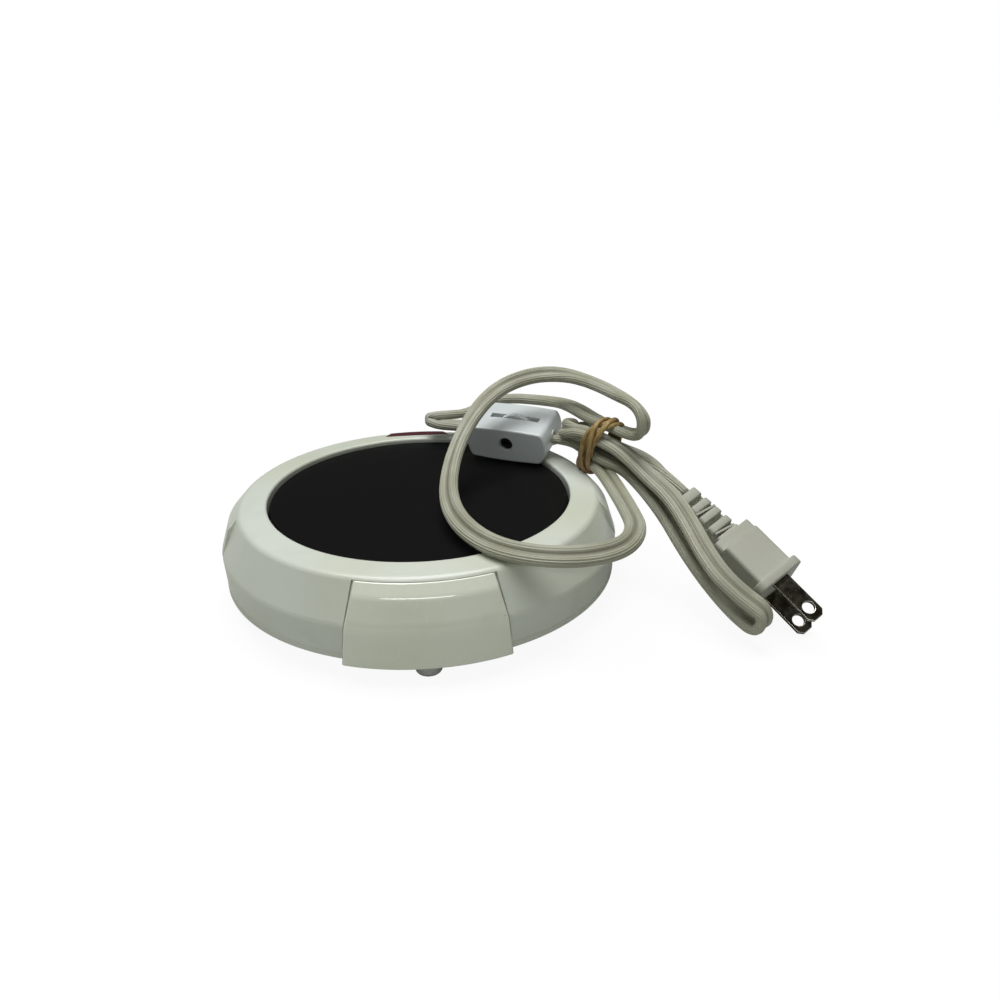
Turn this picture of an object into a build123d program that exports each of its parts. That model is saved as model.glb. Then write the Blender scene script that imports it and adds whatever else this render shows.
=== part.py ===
from build123d import *
from math import cos, pi, radians, sin, tan
import os

# Candle warmer plate: a low white housing round a black heated metal plate, with a
# flat two-core cord tied in a bundle, a thumbwheel switch on the cord and a plug.
# Millimetres. +Z is up, z = 0 is the surface the feet stand on, and the Z axis is
# the middle of the heated plate. -Y is the front, where the wide panel is.

# Driving dimensions of the body
plate_radius = 53.4
plate_top = 32.7
plate_sheet = 1.5
plate_depth = 6.7
plate_flange_width = 4.4
plate_flange_sheet = 1.2
plate_edge_round = 0.7
bore_gap = 0.8
ring_inner_height = 34.2
ring_outer_radius = 64.1
ring_outer_height = 33.5
knee_radius = 70.9
knee_height = 19.8
seam_radius = 70.3
seam_height = 9.9
housing_wall = 2.2
collar_wall = 2.4
ring_inner_round = 0.9
ring_outer_round = 2.4
knee_round = 4.0
fit_gap = 0.15
running_gap = 0.05
overrun = 2.0
pick_reach = 0.05

# Base cover and feet
base_bottom = 5.5
base_floor = 2.0
base_radius = 68.0
base_lip_bottom = 8.0
base_lip_proud = 0.1
base_edge = 0.8
spigot_height = 2.4
spigot_wall = 1.8
foot_radius = 4.3
foot_place = 63.0
foot_stem_radius = 2.0
foot_stem_length = 1.4
foot_round = 1.2

# Housing bosses and base screws
boss_radius = 3.4
boss_place = 61.6
boss_angles = (45, 135, 225, 315)
foot_angles = (0, 90, 180, 270)
screw_radius = 1.4
screw_head_radius = 2.9
screw_head_height = 1.1
screw_length = 11.0
screw_slot_width = 0.8

# Raised tabs round the flank
front_half_angle_top = 19.1
front_half_angle_bottom = 21.4
side_half_angle = 12.75
tab_top_radius = 64.7
tab_top_height = 32.4
tab_crease_radius = 67.9
tab_crease_height = 28.9
panel_knee_radius = 71.8
panel_bottom_radius = 71.9
panel_bottom = 6.4
panel_peg_radius = 1.5
panel_peg_length = 4.4
panel_peg_angle = 12
panel_peg_height = 23.0

# Indicator lens at the back
lens_chord = 58.6
lens_half_width = 13.2
lens_outer_half_width = 10.5
lens_outer_place = 64.2
lens_sheet = 1.0
lens_round = 0.8
lens_proud = 0.1
lens_bottom = 11.5
tab_edge = 75.0
tab_inset = 1.0
lens_window_angle = 8.5
lens_window_low = 23.0
lens_window_high = 29.4

# Heater stack under the plate, from the top down
heater_radius = 44.0
heater_sheet = 1.2
pad_radius = 46.0
pad_height = 3.0
pressure_radius = 47.5
pressure_sheet = 1.0
stud_radius = 2.0
stud_length = 10.5
nut_width = 7.0
nut_height = 3.2
washer_radius = 4.5
washer_sheet = 0.8
gasket_height = 2.0
retainer_inner_radius = 51.0
retainer_sheet = 1.0
retainer_ear_place = 61.8
retainer_ear_radius = 3.4
retainer_boss_radius = 3.2
retainer_angles = (0, 120, 240)
retainer_screw_length = 6.0

# Parts on the pressure plate
thermostat_place = 24.0
thermostat_radius = 7.8
thermostat_height = 8.5
thermostat_flange_radius = 9.6
thermostat_flange_sheet = 0.8
terminal_width = 4.8
terminal_sheet = 0.8
terminal_length = 5.0
terminal_spacing = 9.0
fuse_place = 26.0
fuse_radius = 2.0
fuse_length = 12.0
fuse_clip_sheet = 0.6
fuse_clip_width = 6.0
heater_tab_place = 36.0
heater_tab_spacing = 10.0
heater_pin_radius = 1.0
heater_pin_length = 3.0

# Neon lamp behind the lens
lamp_radius = 2.6
lamp_length = 14.0
lamp_place = 61.0
lamp_height = 22.0
lamp_holder_width = 6.0
lamp_holder_depth = 7.4
resistor_radius = 1.2
resistor_length = 6.0
lead_radius = 0.7
lead_drop = 4.0
lead_a_points = [(-10.0, 12.0, 11.0)]
lead_b_points = [(-18.0, -20.0, 9.3), (-9.0, -32.0, 13.0)]
lead_c_points = [(12.0, -30.0, 15.0), (24.0, -18.0, 19.0)]
lead_d_points = [(18.0, 12.0, 17.0)]
lead_e_points = [(27.0, 46.0, 22.8), (25.2, 38.0, 21.5)]
lead_f_points = [(-19.0, 50.0, 18.0), (-4.0, 43.0, 15.4), (13.0, 42.5, 15.4)]

# Cord, its gland and its clamp. The real cord is flat, 7.0 by 3.5, and this plain tube
# is a little slimmer than its mean, so that the strands lie as close as they really do.
cord_radius = 2.2
cord_gap = 0.1
gland_angle = 60
gland_height = 15.7
gland_neck_radius = 4.0
gland_shoulder = 1.6
gland_flange_radius = 5.6
gland_flange_sheet = 1.6
gland_tail_end = 79.0
gland_seat = 67.4
gland_notch = 13.0
gland_tip_radius = 3.1
clamp_place = 50.0
clamp_width = 17.0
clamp_length = 7.0
clamp_cheek = 2.4
clamp_screw_spacing = 12.0
clamp_screw_length = 9.0
cord_tail_end = 38.0
crimp_radius = 2.8
crimp_length = 11.0
crimp_spacing = 7.6
corner_share = 0.45
sample_step = 1.0

# Switch on the cord: x along the cord, y up, z out of the face with the screw
switch_centre = (39.1, 35.4, 41.7)
switch_along = (0.902, -0.431, -0.02)
switch_front = (-0.427, -0.896, -0.12)
switch_length = 32.0
switch_face_length = 28.0
switch_height = 13.6
switch_depth = 24.0
switch_crown = 0.5
switch_wall = 1.8
switch_corner = 2.2
switch_round = 0.8
wheel_radius = 7.4
wheel_offset = 0.6
wheel_sheet = 2.8
wheel_knurls = 40
wheel_knurl_depth = 0.45
wheel_hub_radius = 4.0
wheel_hub_sheet = 4.4
wheel_slot_length = 20.0
wheel_side_gap = 0.3
axle_radius = 2.0
switch_screw_radius = 1.4
switch_screw_head_radius = 2.5
switch_screw_head_height = 1.6
switch_screw_recess = 1.4
switch_recess_radius = 2.75
switch_nut_width = 5.5
switch_nut_height = 2.2
switch_nut_recess = 0.8
switch_axle_length = 12.0
switch_boss_radius = 3.4
switch_rest_radius = 3.2
switch_rest_length = 3.4
contact_sheet = 0.4
contact_width = 4.0
contact_length = 7.5
contact_depth = 4.6

# Plug: x towards the blade tips, z from one blade to the other
plug_face = (115.7, -50.2, 14.5)
plug_along = (0.534, -0.695, -0.481)
plug_across = (0.110, 0.621, -0.776)
plug_flange_height = 18.3
plug_flange_width = 20.6
plug_flange_length = 3.2
plug_height = 14.1
plug_width = 18.0
plug_length = 18.6
plug_collar_length = 4.0
plug_collar_height = 15.2
plug_collar_width = 13.0
plug_total_length = 43.4
plug_relief_height = 9.4
plug_relief_tip_height = 7.0
plug_relief_width = 9.0
plug_relief_tip_width = 7.6
plug_flange_round = 3.0
plug_slots = 4
plug_slot_width = 1.7
plug_slot_core = 3.1
plug_round = 1.2
blade_width = 6.35
blade_sheet = 1.5
blade_spacing = 12.7
blade_length = 16.6
blade_root = 7.0
blade_hole_radius = 2.0
blade_hole_inset = 4.45
core_length = 12.0
core_height = 9.0
core_width = 15.6
core_inset = 1.2

# Tie: a rubber band wound three times round the bundle of cord
tie_centre = (68.0, 9.6, 43.8)
tie_yaw = -62
tie_strand_radius = 0.95
tie_turns = 3
tie_pitch = 2.4
tie_front = 6.8
tie_back = 6.8
tie_high = 11.2
tie_low = 9.35
tie_corner_round = 3.9

# Points of the cord's route from the gland to the left end of the switch
body_route = [
    (52.0, 80.5, 17.5), (61.5, 74.0, 23.0), (67.0, 61.0, 29.0), (69.0, 47.0, 34.0),
    (69.0, 34.5, 36.6), (67.0, 24.5, 37.3), (61.3, 16.2, 38.0), (68.3, 2.9, 38.0),
    (69.5, -12.0, 35.4), (70.2, -29.0, 35.2), (69.3, -44.0, 35.8), (62.5, -57.0, 36.4),
    (50.0, -62.5, 36.8), (35.0, -61.5, 37.0), (22.0, -54.5, 37.3), (13.5, -42.0, 38.2),
    (9.5, -26.0, 39.3), (10.0, -9.0, 42.0), (14.0, 6.0, 48.0), (21.5, 18.0, 56.5),
    (31.5, 28.5, 62.5), (45.0, 36.5, 64.8), (57.5, 35.0, 65.3), (67.5, 22.0, 65.0),
    (74.3, 6.0, 64.2), (78.8, -2.5, 63.2), (81.0, -7.5, 60.0), (80.7, -7.5, 54.0),
    (77.5, -2.5, 51.5), (73.4, 5.7, 50.5), (67.0, 17.0, 51.4), (62.8, 29.5, 52.0),
    (59.5, 42.0, 50.6), (50.8, 51.6, 49.6), (39.6, 57.0, 49.2), (28.5, 59.5, 47.5),
    (18.5, 59.0, 45.0), (10.0, 57.8, 42.8), (3.4, 54.8, 41.4), (3.2, 47.8, 40.8),
    (9.6, 44.9, 41.2),
]

# Points of the hank's route from the right end of the switch to the plug
hank_route = [
    (62.2, 14.4, 42.6), (68.4, 2.7, 42.6), (76.0, -1.0, 38.0), (79.2, -7.0, 36.2),
    (82.8, -14.5, 32.9), (86.4, -23.0, 28.4), (88.9, -32.0, 23.7), (91.9, -40.5, 19.1),
    (95.6, -48.5, 14.6), (99.4, -55.0, 10.9), (102.6, -59.4, 8.9), (105.7, -63.5, 7.0),
    (107.8, -66.2, 8.7), (108.5, -67.1, 12.3), (107.5, -65.8, 15.8), (103.4, -61.4, 19.4),
    (95.9, -54.0, 25.8), (92.1, -45.0, 31.2), (90.3, -34.0, 34.4), (86.3, -23.5, 37.4),
    (81.6, -13.5, 39.6), (74.6, -2.8, 44.6), (67.8, 3.8, 47.7), (62.6, 13.5, 47.6),
    (56.8, 17.8, 47.2), (56.4, 24.5, 47.1), (62.2, 27.6, 47.0), (67.2, 23.5, 46.5),
    (67.6, 16.3, 44.9), (73.6, 4.8, 45.0), (82.8, -1.6, 43.0),
]
cord_straight = 8.2

# Worked out from the sizes above
bore_radius = plate_radius + bore_gap
collar_radius = bore_radius + collar_wall
flange_top = plate_top - plate_depth + plate_flange_sheet
flange_bottom = plate_top - plate_depth
flange_radius = plate_radius + plate_flange_width
plate_under = plate_top - plate_sheet
gasket_inner_radius = bore_radius + fit_gap
collar_bottom = flange_top + gasket_height
heater_bottom = plate_under - heater_sheet
pad_bottom = heater_bottom - pad_height
pressure_bottom = pad_bottom - pressure_sheet
floor_top = base_bottom + base_floor
seam_inner_radius = seam_radius - housing_wall
flank_slope = (knee_radius - ring_outer_radius) / (ring_outer_height - knee_height)


def turned(outline, arc=360, start=0):
    """A solid turned about the Z axis from a closed outline of (radius, height)."""
    face = make_face(Polyline(*[(r, 0, z) for r, z in outline], close=True))
    return Rot(0, 0, start) * revolve(face, Axis.Z, arc)


def drum(radius, low, high, x=0, y=0):
    """An upright cylinder between two heights."""
    return Pos(x, y, (low + high) / 2) * Cylinder(radius, high - low)


def polar(radius, angle, height=0):
    return Vector(radius * cos(radians(angle)), radius * sin(radians(angle)), height)


def rim_edges(solid, radius, height):
    """The circular edges of a turned solid at one radius and height."""
    return [
        edge
        for edge in solid.edges().filter_by(GeomType.CIRCLE)
        if abs(edge.radius - radius) < pick_reach and abs(edge.center().Z - height) < pick_reach
    ]


def flank_radius(height):
    """Outer radius of the housing's sloping flank at a height."""
    return ring_outer_radius + (ring_outer_height - height) * flank_slope


def save(node, *solids):
    """Write one node, a solid or a group of separate solids, to its own file."""
    found = []
    for solid in solids:
        found += list(solid.solids())
    shape = found[0] if len(found) == 1 else Compound(children=found)
    shape.label = node
    export_step(shape, "parts/" + node + ".step")


def housing_outline():
    """Half section of the top housing: shell wall, ring and the collar round the plate."""
    lean = housing_wall * (1 + flank_slope * flank_slope) ** (1 / 2)
    under = ring_outer_height - housing_wall
    return [
        (bore_radius, collar_bottom),
        (bore_radius, ring_inner_height),
        (ring_outer_radius, ring_outer_height),
        (knee_radius, knee_height),
        (seam_radius, seam_height),
        (seam_inner_radius, seam_height),
        (knee_radius - housing_wall, knee_height),
        (flank_radius(under) - lean, under),
        (collar_radius, under),
        (collar_radius, collar_bottom),
    ]


def side_tab(angle):
    """A raised tab moulded in one with the housing's side, flush at the knee."""
    outline = [
        (flank_radius(tab_top_height) - tab_inset, tab_top_height),
        (tab_top_radius, tab_top_height),
        (tab_crease_radius, tab_crease_height),
        (knee_radius, knee_height),
        (knee_radius - tab_inset, knee_height),
    ]
    return turned(outline, 2 * side_half_angle, angle - side_half_angle)


def panel_outline(gap):
    """Section of the front panel, with a gap on its inner faces and its top."""
    return [
        (flank_radius(tab_top_height) - tab_inset - gap, tab_top_height + gap),
        (tab_top_radius + gap, tab_top_height + gap),
        (tab_crease_radius, tab_crease_height),
        (panel_knee_radius, knee_height),
        (panel_bottom_radius, panel_bottom),
        (seam_radius + base_lip_proud + fit_gap - gap, panel_bottom),
        (seam_radius + base_lip_proud + fit_gap - gap, seam_height),
        (knee_radius - tab_inset - gap, knee_height),
    ]


def panel_blank(gap):
    """The front panel without its pegs: a turned strip with slanting side edges."""
    strip = turned(panel_outline(gap), 3 * front_half_angle_bottom, -90 - 1.5 * front_half_angle_bottom)
    rise = tab_top_height - panel_bottom
    knee_share = (tab_top_height - knee_height) / rise
    knee_angle = front_half_angle_top + (front_half_angle_bottom - front_half_angle_top) * knee_share
    top = tab_top_radius * sin(radians(front_half_angle_top)) + gap
    middle = panel_knee_radius * sin(radians(knee_angle)) + gap
    low = panel_bottom_radius * sin(radians(front_half_angle_bottom)) + gap
    high = tab_top_height + overrun
    sheet = Polyline(
        (-top, 0, high), (top, 0, high), (middle, 0, knee_height), (low, 0, panel_bottom),
        (low, 0, panel_bottom - overrun), (-low, 0, panel_bottom - overrun),
        (-low, 0, panel_bottom), (-middle, 0, knee_height), close=True,
    )
    return strip & extrude(make_face(sheet), panel_knee_radius + overrun, dir=(0, -1, 0))


def panel_pegs(radius, reach):
    """Two pegs that point from the panel towards the Z axis."""
    pegs = []
    for side in (-1, 1):
        angle = -90 + side * panel_peg_angle
        outer = flank_radius(panel_peg_height) - tab_inset / 2
        place = polar(outer, angle, panel_peg_height)
        inward = (-cos(radians(angle)), -sin(radians(angle)), 0)
        pegs.append(Plane(place, z_dir=inward) * Pos(0, 0, reach / 2) * Cylinder(radius, reach))
    return pegs


def make_front_panel():
    panel = panel_blank(0)
    for peg in panel_pegs(panel_peg_radius, panel_peg_length):
        panel += peg
    return panel


def lens_blank(gap):
    """The indicator lens: a flush piece of the ring's top, and a tab down the flank."""
    fall = (ring_inner_height - ring_outer_height) / (ring_outer_radius - bore_radius)
    inner = lens_chord - overrun
    top = ring_inner_height - (inner - bore_radius) * fall
    outline = [
        (inner, top - lens_sheet - gap),
        (inner, top + lens_proud + gap),
        (tab_top_radius - lens_round, ring_outer_height + lens_proud + gap),
        (tab_top_radius, tab_top_height),
        (tab_crease_radius, tab_crease_height),
        (panel_bottom_radius, knee_height),
        (panel_bottom_radius, lens_bottom - gap),
        (knee_radius - tab_inset - gap, lens_bottom - gap),
        (knee_radius - tab_inset - gap, knee_height),
        (flank_radius(tab_top_height) - tab_inset - gap, ring_outer_height - lens_sheet - gap),
    ]
    plan = make_face(Polyline(
        (-lens_half_width - gap, lens_chord - gap), (lens_half_width + gap, lens_chord - gap),
        (lens_outer_half_width + gap, lens_outer_place), (lens_outer_half_width + gap, tab_edge),
        (-lens_outer_half_width - gap, tab_edge), (-lens_outer_half_width - gap, lens_outer_place),
        close=True,
    ))
    return turned(outline, 60, 60) & extrude(plan, 2 * ring_inner_height, dir=(0, 0, 1))


def lens_window(gap):
    """The block that fills the hole through the wall behind the lens."""
    outer = flank_radius(lens_window_low) - tab_inset / 2
    wide = 2 * outer * sin(radians(lens_window_angle)) + 2 * gap
    high = lens_window_high - lens_window_low + 2 * gap
    inner = flank_radius(lens_window_high) - 2 * housing_wall
    middle = (lens_window_low + lens_window_high) / 2
    block = Pos(0, (inner + outer) / 2, middle) * Box(wide, outer - inner, high)
    return block


def make_lens():
    """The lens with its light pipe, which stops at the inside of the wall."""
    shell = turned(
        [
            (flank_radius(lens_window_high) - housing_wall - fit_gap, lens_window_high),
            (tab_crease_radius - tab_inset, lens_window_high),
            (knee_radius - tab_inset / 2, lens_window_low),
            (flank_radius(lens_window_low) - housing_wall - fit_gap, lens_window_low),
        ],
        60,
        60,
    )
    return lens_blank(0) + (lens_window(0) & shell)


def under_skin():
    """The room for bosses, whose outside lies halfway through the housing's wall."""
    half = housing_wall / 2
    outline = [
        (0, floor_top),
        (knee_radius - half, floor_top),
        (knee_radius - half, knee_height),
        (ring_outer_radius - half, ring_outer_height - half),
        (0, ring_outer_height - half),
    ]
    return turned(outline)


def base_boss(angle):
    place = polar(boss_place, angle)
    return drum(boss_radius, floor_top, ring_outer_height, place.X, place.Y) & under_skin()


def retainer_boss(angle):
    place = polar(retainer_ear_place, angle)
    return drum(retainer_boss_radius, flange_bottom, ring_outer_height, place.X, place.Y) & under_skin()


def make_top_housing():
    """The white shell: ring, collar, flank, side tabs, bosses and its holes."""
    shell = turned(housing_outline())
    shell = fillet(rim_edges(shell, bore_radius, ring_inner_height), ring_inner_round)
    shell = fillet(rim_edges(shell, ring_outer_radius, ring_outer_height), ring_outer_round)
    shell = fillet(rim_edges(shell, knee_radius, knee_height), knee_round)
    for angle in (0, 180):
        shell += side_tab(angle)
    for angle in boss_angles:
        shell += base_boss(angle)
        hole = polar(boss_place, angle)
        shell -= drum(
            screw_radius + running_gap, floor_top, base_bottom + screw_length + overrun, hole.X, hole.Y
        )
    for angle in retainer_angles:
        shell += retainer_boss(angle)
        hole = polar(retainer_ear_place, angle)
        shell -= drum(
            screw_radius + running_gap, flange_bottom, flange_bottom + retainer_screw_length, hole.X, hole.Y
        )
    shell -= panel_blank(fit_gap)
    for peg in panel_pegs(panel_peg_radius + fit_gap, panel_peg_length):
        shell -= peg
    shell -= lens_blank(fit_gap)
    shell -= lens_window(fit_gap)
    return shell - gland_bore(gland_neck_radius + fit_gap)


def gland_plane(distance):
    """A plane square to the gland's axis, which points outwards at the gland's angle."""
    outward = (cos(radians(gland_angle)), sin(radians(gland_angle)), 0)
    return Plane(polar(distance, gland_angle, gland_height), z_dir=outward)


def gland_bore(radius):
    length = gland_tail_end - clamp_place
    return gland_plane(clamp_place + clamp_length) * Pos(0, 0, length / 2) * Cylinder(radius, length)


def make_gland():
    """The cord's bush: a flange inside the wall and a tapering tail outside."""
    neck_end = seam_radius + gland_shoulder
    outline = [
        (cord_radius + cord_gap, gland_seat - gland_flange_sheet),
        (gland_flange_radius, gland_seat - gland_flange_sheet),
        (gland_flange_radius, gland_seat),
        (gland_neck_radius, gland_seat),
        (gland_neck_radius, neck_end),
        (gland_tip_radius, gland_tail_end),
        (cord_radius + cord_gap, gland_tail_end),
    ]
    face = make_face(Polyline(*[(r, 0, s) for r, s in outline], close=True))
    return gland_plane(0) * revolve(face, Axis.Z)


def clamp_screw_places():
    """Where the two clamp screws stand, either side of the cord."""
    middle = polar(clamp_place, gland_angle)
    side = (-sin(radians(gland_angle)), cos(radians(gland_angle)))
    half = clamp_screw_spacing / 2
    return [(middle.X + side[0] * s * half, middle.Y + side[1] * s * half) for s in (-1, 1)]


def clamp_block(low, high):
    """A block across the cord between two heights, grooved for the cord."""
    block = Box(clamp_length, clamp_width, high - low)
    middle = polar(clamp_place, gland_angle, (low + high) / 2)
    block = Pos(*middle) * Rot(0, 0, gland_angle) * block
    cut = gland_plane(clamp_place - clamp_length) * Pos(0, 0, clamp_length)
    return block - cut * Cylinder(cord_radius + cord_gap, 3 * clamp_length)


def make_base_cover():
    """The floor, its lip under the housing, its spigot and the clamp's lower block."""
    spigot_outer = seam_inner_radius - fit_gap
    outline = [
        (0, base_bottom),
        (base_radius - base_edge, base_bottom),
        (base_radius, base_bottom + base_edge),
        (base_radius, base_lip_bottom),
        (seam_radius + base_lip_proud, base_lip_bottom),
        (seam_radius + base_lip_proud, seam_height),
        (spigot_outer, seam_height),
        (spigot_outer, seam_height + spigot_height),
        (spigot_outer - spigot_wall, seam_height + spigot_height),
        (spigot_outer - spigot_wall, floor_top),
        (0, floor_top),
    ]
    cover = turned(outline)
    notch_centre = polar(gland_seat, gland_angle, seam_height + spigot_height / 2)
    notch = Box(gland_notch, gland_notch, spigot_height)
    cover -= Pos(*notch_centre) * Rot(0, 0, gland_angle) * notch
    cover += clamp_block(floor_top, gland_height)
    for x, y in clamp_screw_places():
        cover -= drum(screw_radius + running_gap, floor_top, gland_height, x, y)
    for angle in boss_angles:
        place = polar(boss_place, angle)
        cover -= drum(screw_radius + fit_gap, base_bottom, floor_top, place.X, place.Y)
        sink = base_bottom + screw_head_height
        cover -= drum(screw_head_radius + fit_gap, base_bottom, sink, place.X, place.Y)
    for angle in foot_angles:
        place = polar(foot_place, angle)
        top = base_bottom + foot_stem_length
        cover -= drum(foot_stem_radius + running_gap, base_bottom, top, place.X, place.Y)
    return cover


def make_clamp():
    high = gland_height + cord_radius + clamp_cheek
    clamp = clamp_block(gland_height, high)
    for x, y in clamp_screw_places():
        clamp -= drum(screw_radius + fit_gap, gland_height, high, x, y)
    return clamp


def pan_screw(x, y, seat, length, head_up):
    """A pan-head screw with a slot. The head stands on the seat, up or down."""
    way = 1 if head_up else -1
    head = Pos(0, 0, way * screw_head_height / 2) * Cylinder(screw_head_radius, screw_head_height)
    shaft = Pos(0, 0, -way * length / 2) * Cylinder(screw_radius, length)
    depth = screw_head_height / 2
    slot = Box(3 * screw_head_radius, screw_slot_width, depth)
    slot = Pos(0, 0, way * (screw_head_height - depth / 2)) * slot
    return Pos(x, y, seat) * (head + shaft - slot)


def make_foot(angle):
    """A round rubber foot with a stem pressed into the floor."""
    place = polar(foot_place, angle)
    foot = fillet(drum(foot_radius, 0, base_bottom).edges().group_by(Axis.Z)[0], foot_round)
    foot += drum(foot_stem_radius, base_bottom, base_bottom + foot_stem_length)
    return Pos(place.X, place.Y, 0) * foot


def make_plate():
    """The black heated plate: a shallow inverted pan with a flange under the gasket."""
    outline = [
        (0, plate_under),
        (0, plate_top),
        (plate_radius, plate_top),
        (plate_radius, flange_top),
        (flange_radius, flange_top),
        (flange_radius, flange_bottom),
        (plate_radius - plate_sheet, flange_bottom),
        (plate_radius - plate_sheet, plate_under),
    ]
    plate = turned(outline)
    plate = fillet(rim_edges(plate, plate_radius, plate_top), plate_edge_round)
    return plate


def make_gasket():
    outer = flange_radius - fit_gap
    return drum(outer, flange_top, collar_bottom) - drum(gasket_inner_radius, flange_top, collar_bottom)


def make_retainer():
    """The ring that holds the plate's flange up against the gasket."""
    low = flange_bottom - retainer_sheet
    ring = drum(flange_radius, low, flange_bottom)
    for angle in retainer_angles:
        place = polar(retainer_ear_place, angle)
        bridge = polar((retainer_ear_place + flange_radius) / 2, angle, (low + flange_bottom) / 2)
        reach = retainer_ear_place - retainer_inner_radius
        ring += drum(retainer_ear_radius, low, flange_bottom, place.X, place.Y)
        ring += Pos(*bridge) * Rot(0, 0, angle) * Box(reach / 2, 2 * retainer_ear_radius, retainer_sheet)
        ring -= drum(screw_radius + fit_gap, low, flange_bottom, place.X, place.Y)
    return ring - drum(retainer_inner_radius, low, flange_bottom)


def tab_places():
    """Where the heater's two terminals come down."""
    half = heater_tab_spacing / 2
    return [(-half, -heater_tab_place), (half, -heater_tab_place)]


def make_heater():
    """The flat heating element with its two terminal pins."""
    disc = drum(heater_radius, heater_bottom, plate_under)
    disc -= drum(stud_radius + fit_gap, heater_bottom, plate_under)
    for x, y in tab_places():
        disc += drum(heater_pin_radius, pressure_bottom - heater_pin_length, heater_bottom, x, y)
    return disc


def make_layer(radius, low, high):
    """A round layer of the heater stack with holes for the stud and the pins."""
    layer = drum(radius, low, high) - drum(stud_radius + fit_gap, low, high)
    for x, y in tab_places():
        layer -= drum(2 * heater_pin_radius, low, high, x, y)
    return layer


def make_stud():
    return drum(stud_radius, plate_under - stud_length, plate_under)


def hexagon(width, low, high):
    """A hexagonal bar, by its width across the flats, between two heights."""
    bar = extrude(RegularPolygon(width / 2, 6, major_radius=False), high - low)
    return Pos(0, 0, low) * bar


def make_stud_nut():
    top = pressure_bottom - washer_sheet
    return hexagon(nut_width, top - nut_height, top) - drum(stud_radius + running_gap, top - nut_height, top)


def make_stud_washer():
    low = pressure_bottom - washer_sheet
    return drum(washer_radius, low, pressure_bottom) - drum(stud_radius + running_gap, low, pressure_bottom)


def make_thermostat():
    """The disc thermostat, flange up against the pressure plate."""
    low = pressure_bottom - thermostat_flange_sheet
    can = drum(thermostat_flange_radius, low, pressure_bottom)
    return Pos(-thermostat_place, 0, 0) * (can + drum(thermostat_radius, low - thermostat_height, low))


def make_thermostat_terminals():
    """Two flat blades under the thermostat."""
    top = pressure_bottom - thermostat_flange_sheet - thermostat_height
    half = terminal_spacing / 2
    return [
        Pos(-thermostat_place, side * half, top - terminal_length / 2)
        * Box(terminal_width, terminal_sheet, terminal_length)
        for side in (-1, 1)
    ]


def fuse_height():
    return pressure_bottom - fuse_clip_sheet - fuse_radius


def make_fuse():
    return Pos(fuse_place, 0, fuse_height()) * Rot(90, 0, 0) * Cylinder(fuse_radius, fuse_length)


def make_fuse_clip():
    """A spring clip that holds the fuse's barrel up against the pressure plate."""
    outer = Rot(90, 0, 0) * Cylinder(fuse_radius + fuse_clip_sheet, fuse_clip_width)
    outer -= Rot(90, 0, 0) * Cylinder(fuse_radius, fuse_clip_width)
    gap = fuse_radius * 2
    outer -= Pos(0, 0, -gap / 2 - fuse_radius / 2) * Box(gap / 2 + fuse_radius, 2 * fuse_clip_width, gap)
    wing = Box(4 * fuse_radius, fuse_clip_width, fuse_clip_sheet)
    wing = Pos(0, 0, fuse_radius + fuse_clip_sheet / 2) * wing
    wing -= Rot(90, 0, 0) * Cylinder(fuse_radius, fuse_clip_width)
    return Pos(fuse_place, 0, fuse_height()) * (outer + wing)


def make_lamp():
    """The neon indicator lamp, a small glass barrel behind the lens."""
    barrel = Rot(0, 90, 0) * Cylinder(lamp_radius, lamp_length)
    return Pos(0, lamp_place, lamp_height) * barrel


def make_lamp_holder():
    """A post on the floor with a cradle for the lamp's barrel."""
    high = lamp_height
    post = Pos(0, lamp_place, (floor_top + high) / 2)
    post = post * Box(lamp_holder_width, lamp_holder_depth, high - floor_top)
    return post - Pos(0, lamp_place, lamp_height) * Rot(0, 90, 0) * Cylinder(lamp_radius, 2 * lamp_length)


def make_resistor():
    """The lamp's series resistor, in line with one end of the barrel."""
    barrel = Rot(0, 90, 0) * Cylinder(resistor_radius, resistor_length)
    return Pos(-(lamp_length + resistor_length) / 2, lamp_place, lamp_height) * barrel


def make_crimps():
    """Two closed crimp sleeves that join the cord's cores to the leads."""
    plane = gland_plane(cord_tail_end - crimp_length / 2)
    return [
        plane * Pos(*crimp_offset(side)) * Cylinder(crimp_radius, crimp_length)
        for side in (-1, 1)
    ]


def crimp_offset(side):
    """Sideways step from the cord's axis to a crimp's axis, in the gland's plane."""
    plane = gland_plane(0)
    across = Vector(-sin(radians(gland_angle)), cos(radians(gland_angle)), 0)
    step = crimp_spacing / 2 * side
    return (across.dot(plane.x_dir) * step, across.dot(plane.y_dir) * step, 0)


def crimp_end(side, distance):
    """A point on a crimp's axis, at a distance from the Z axis along the gland's direction."""
    middle = polar(distance, gland_angle, gland_height)
    across = crimp_spacing / 2 * side
    return (
        middle.X - sin(radians(gland_angle)) * across,
        middle.Y + cos(radians(gland_angle)) * across,
        gland_height,
    )


def corner_radii(points):
    """The largest arc that each corner of a route allows, as a share of its shorter run."""
    spots = [Vector(*point) for point in points]
    radii = []
    for before, corner, after in zip(spots, spots[1:], spots[2:]):
        first = corner - before
        second = after - corner
        turn = radians(first.get_angle(second))
        radii.append(corner_share * min(first.length, second.length) / tan(turn / 2))
    return radii


def tube(points, radius):
    """A round tube along straight runs joined by tangent arcs, and its path."""
    path = FilletPolyline(*points, radius=corner_radii(points))
    section = Plane(path @ 0, z_dir=path % 0) * Circle(radius)
    return sweep(section, path=path), path


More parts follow.
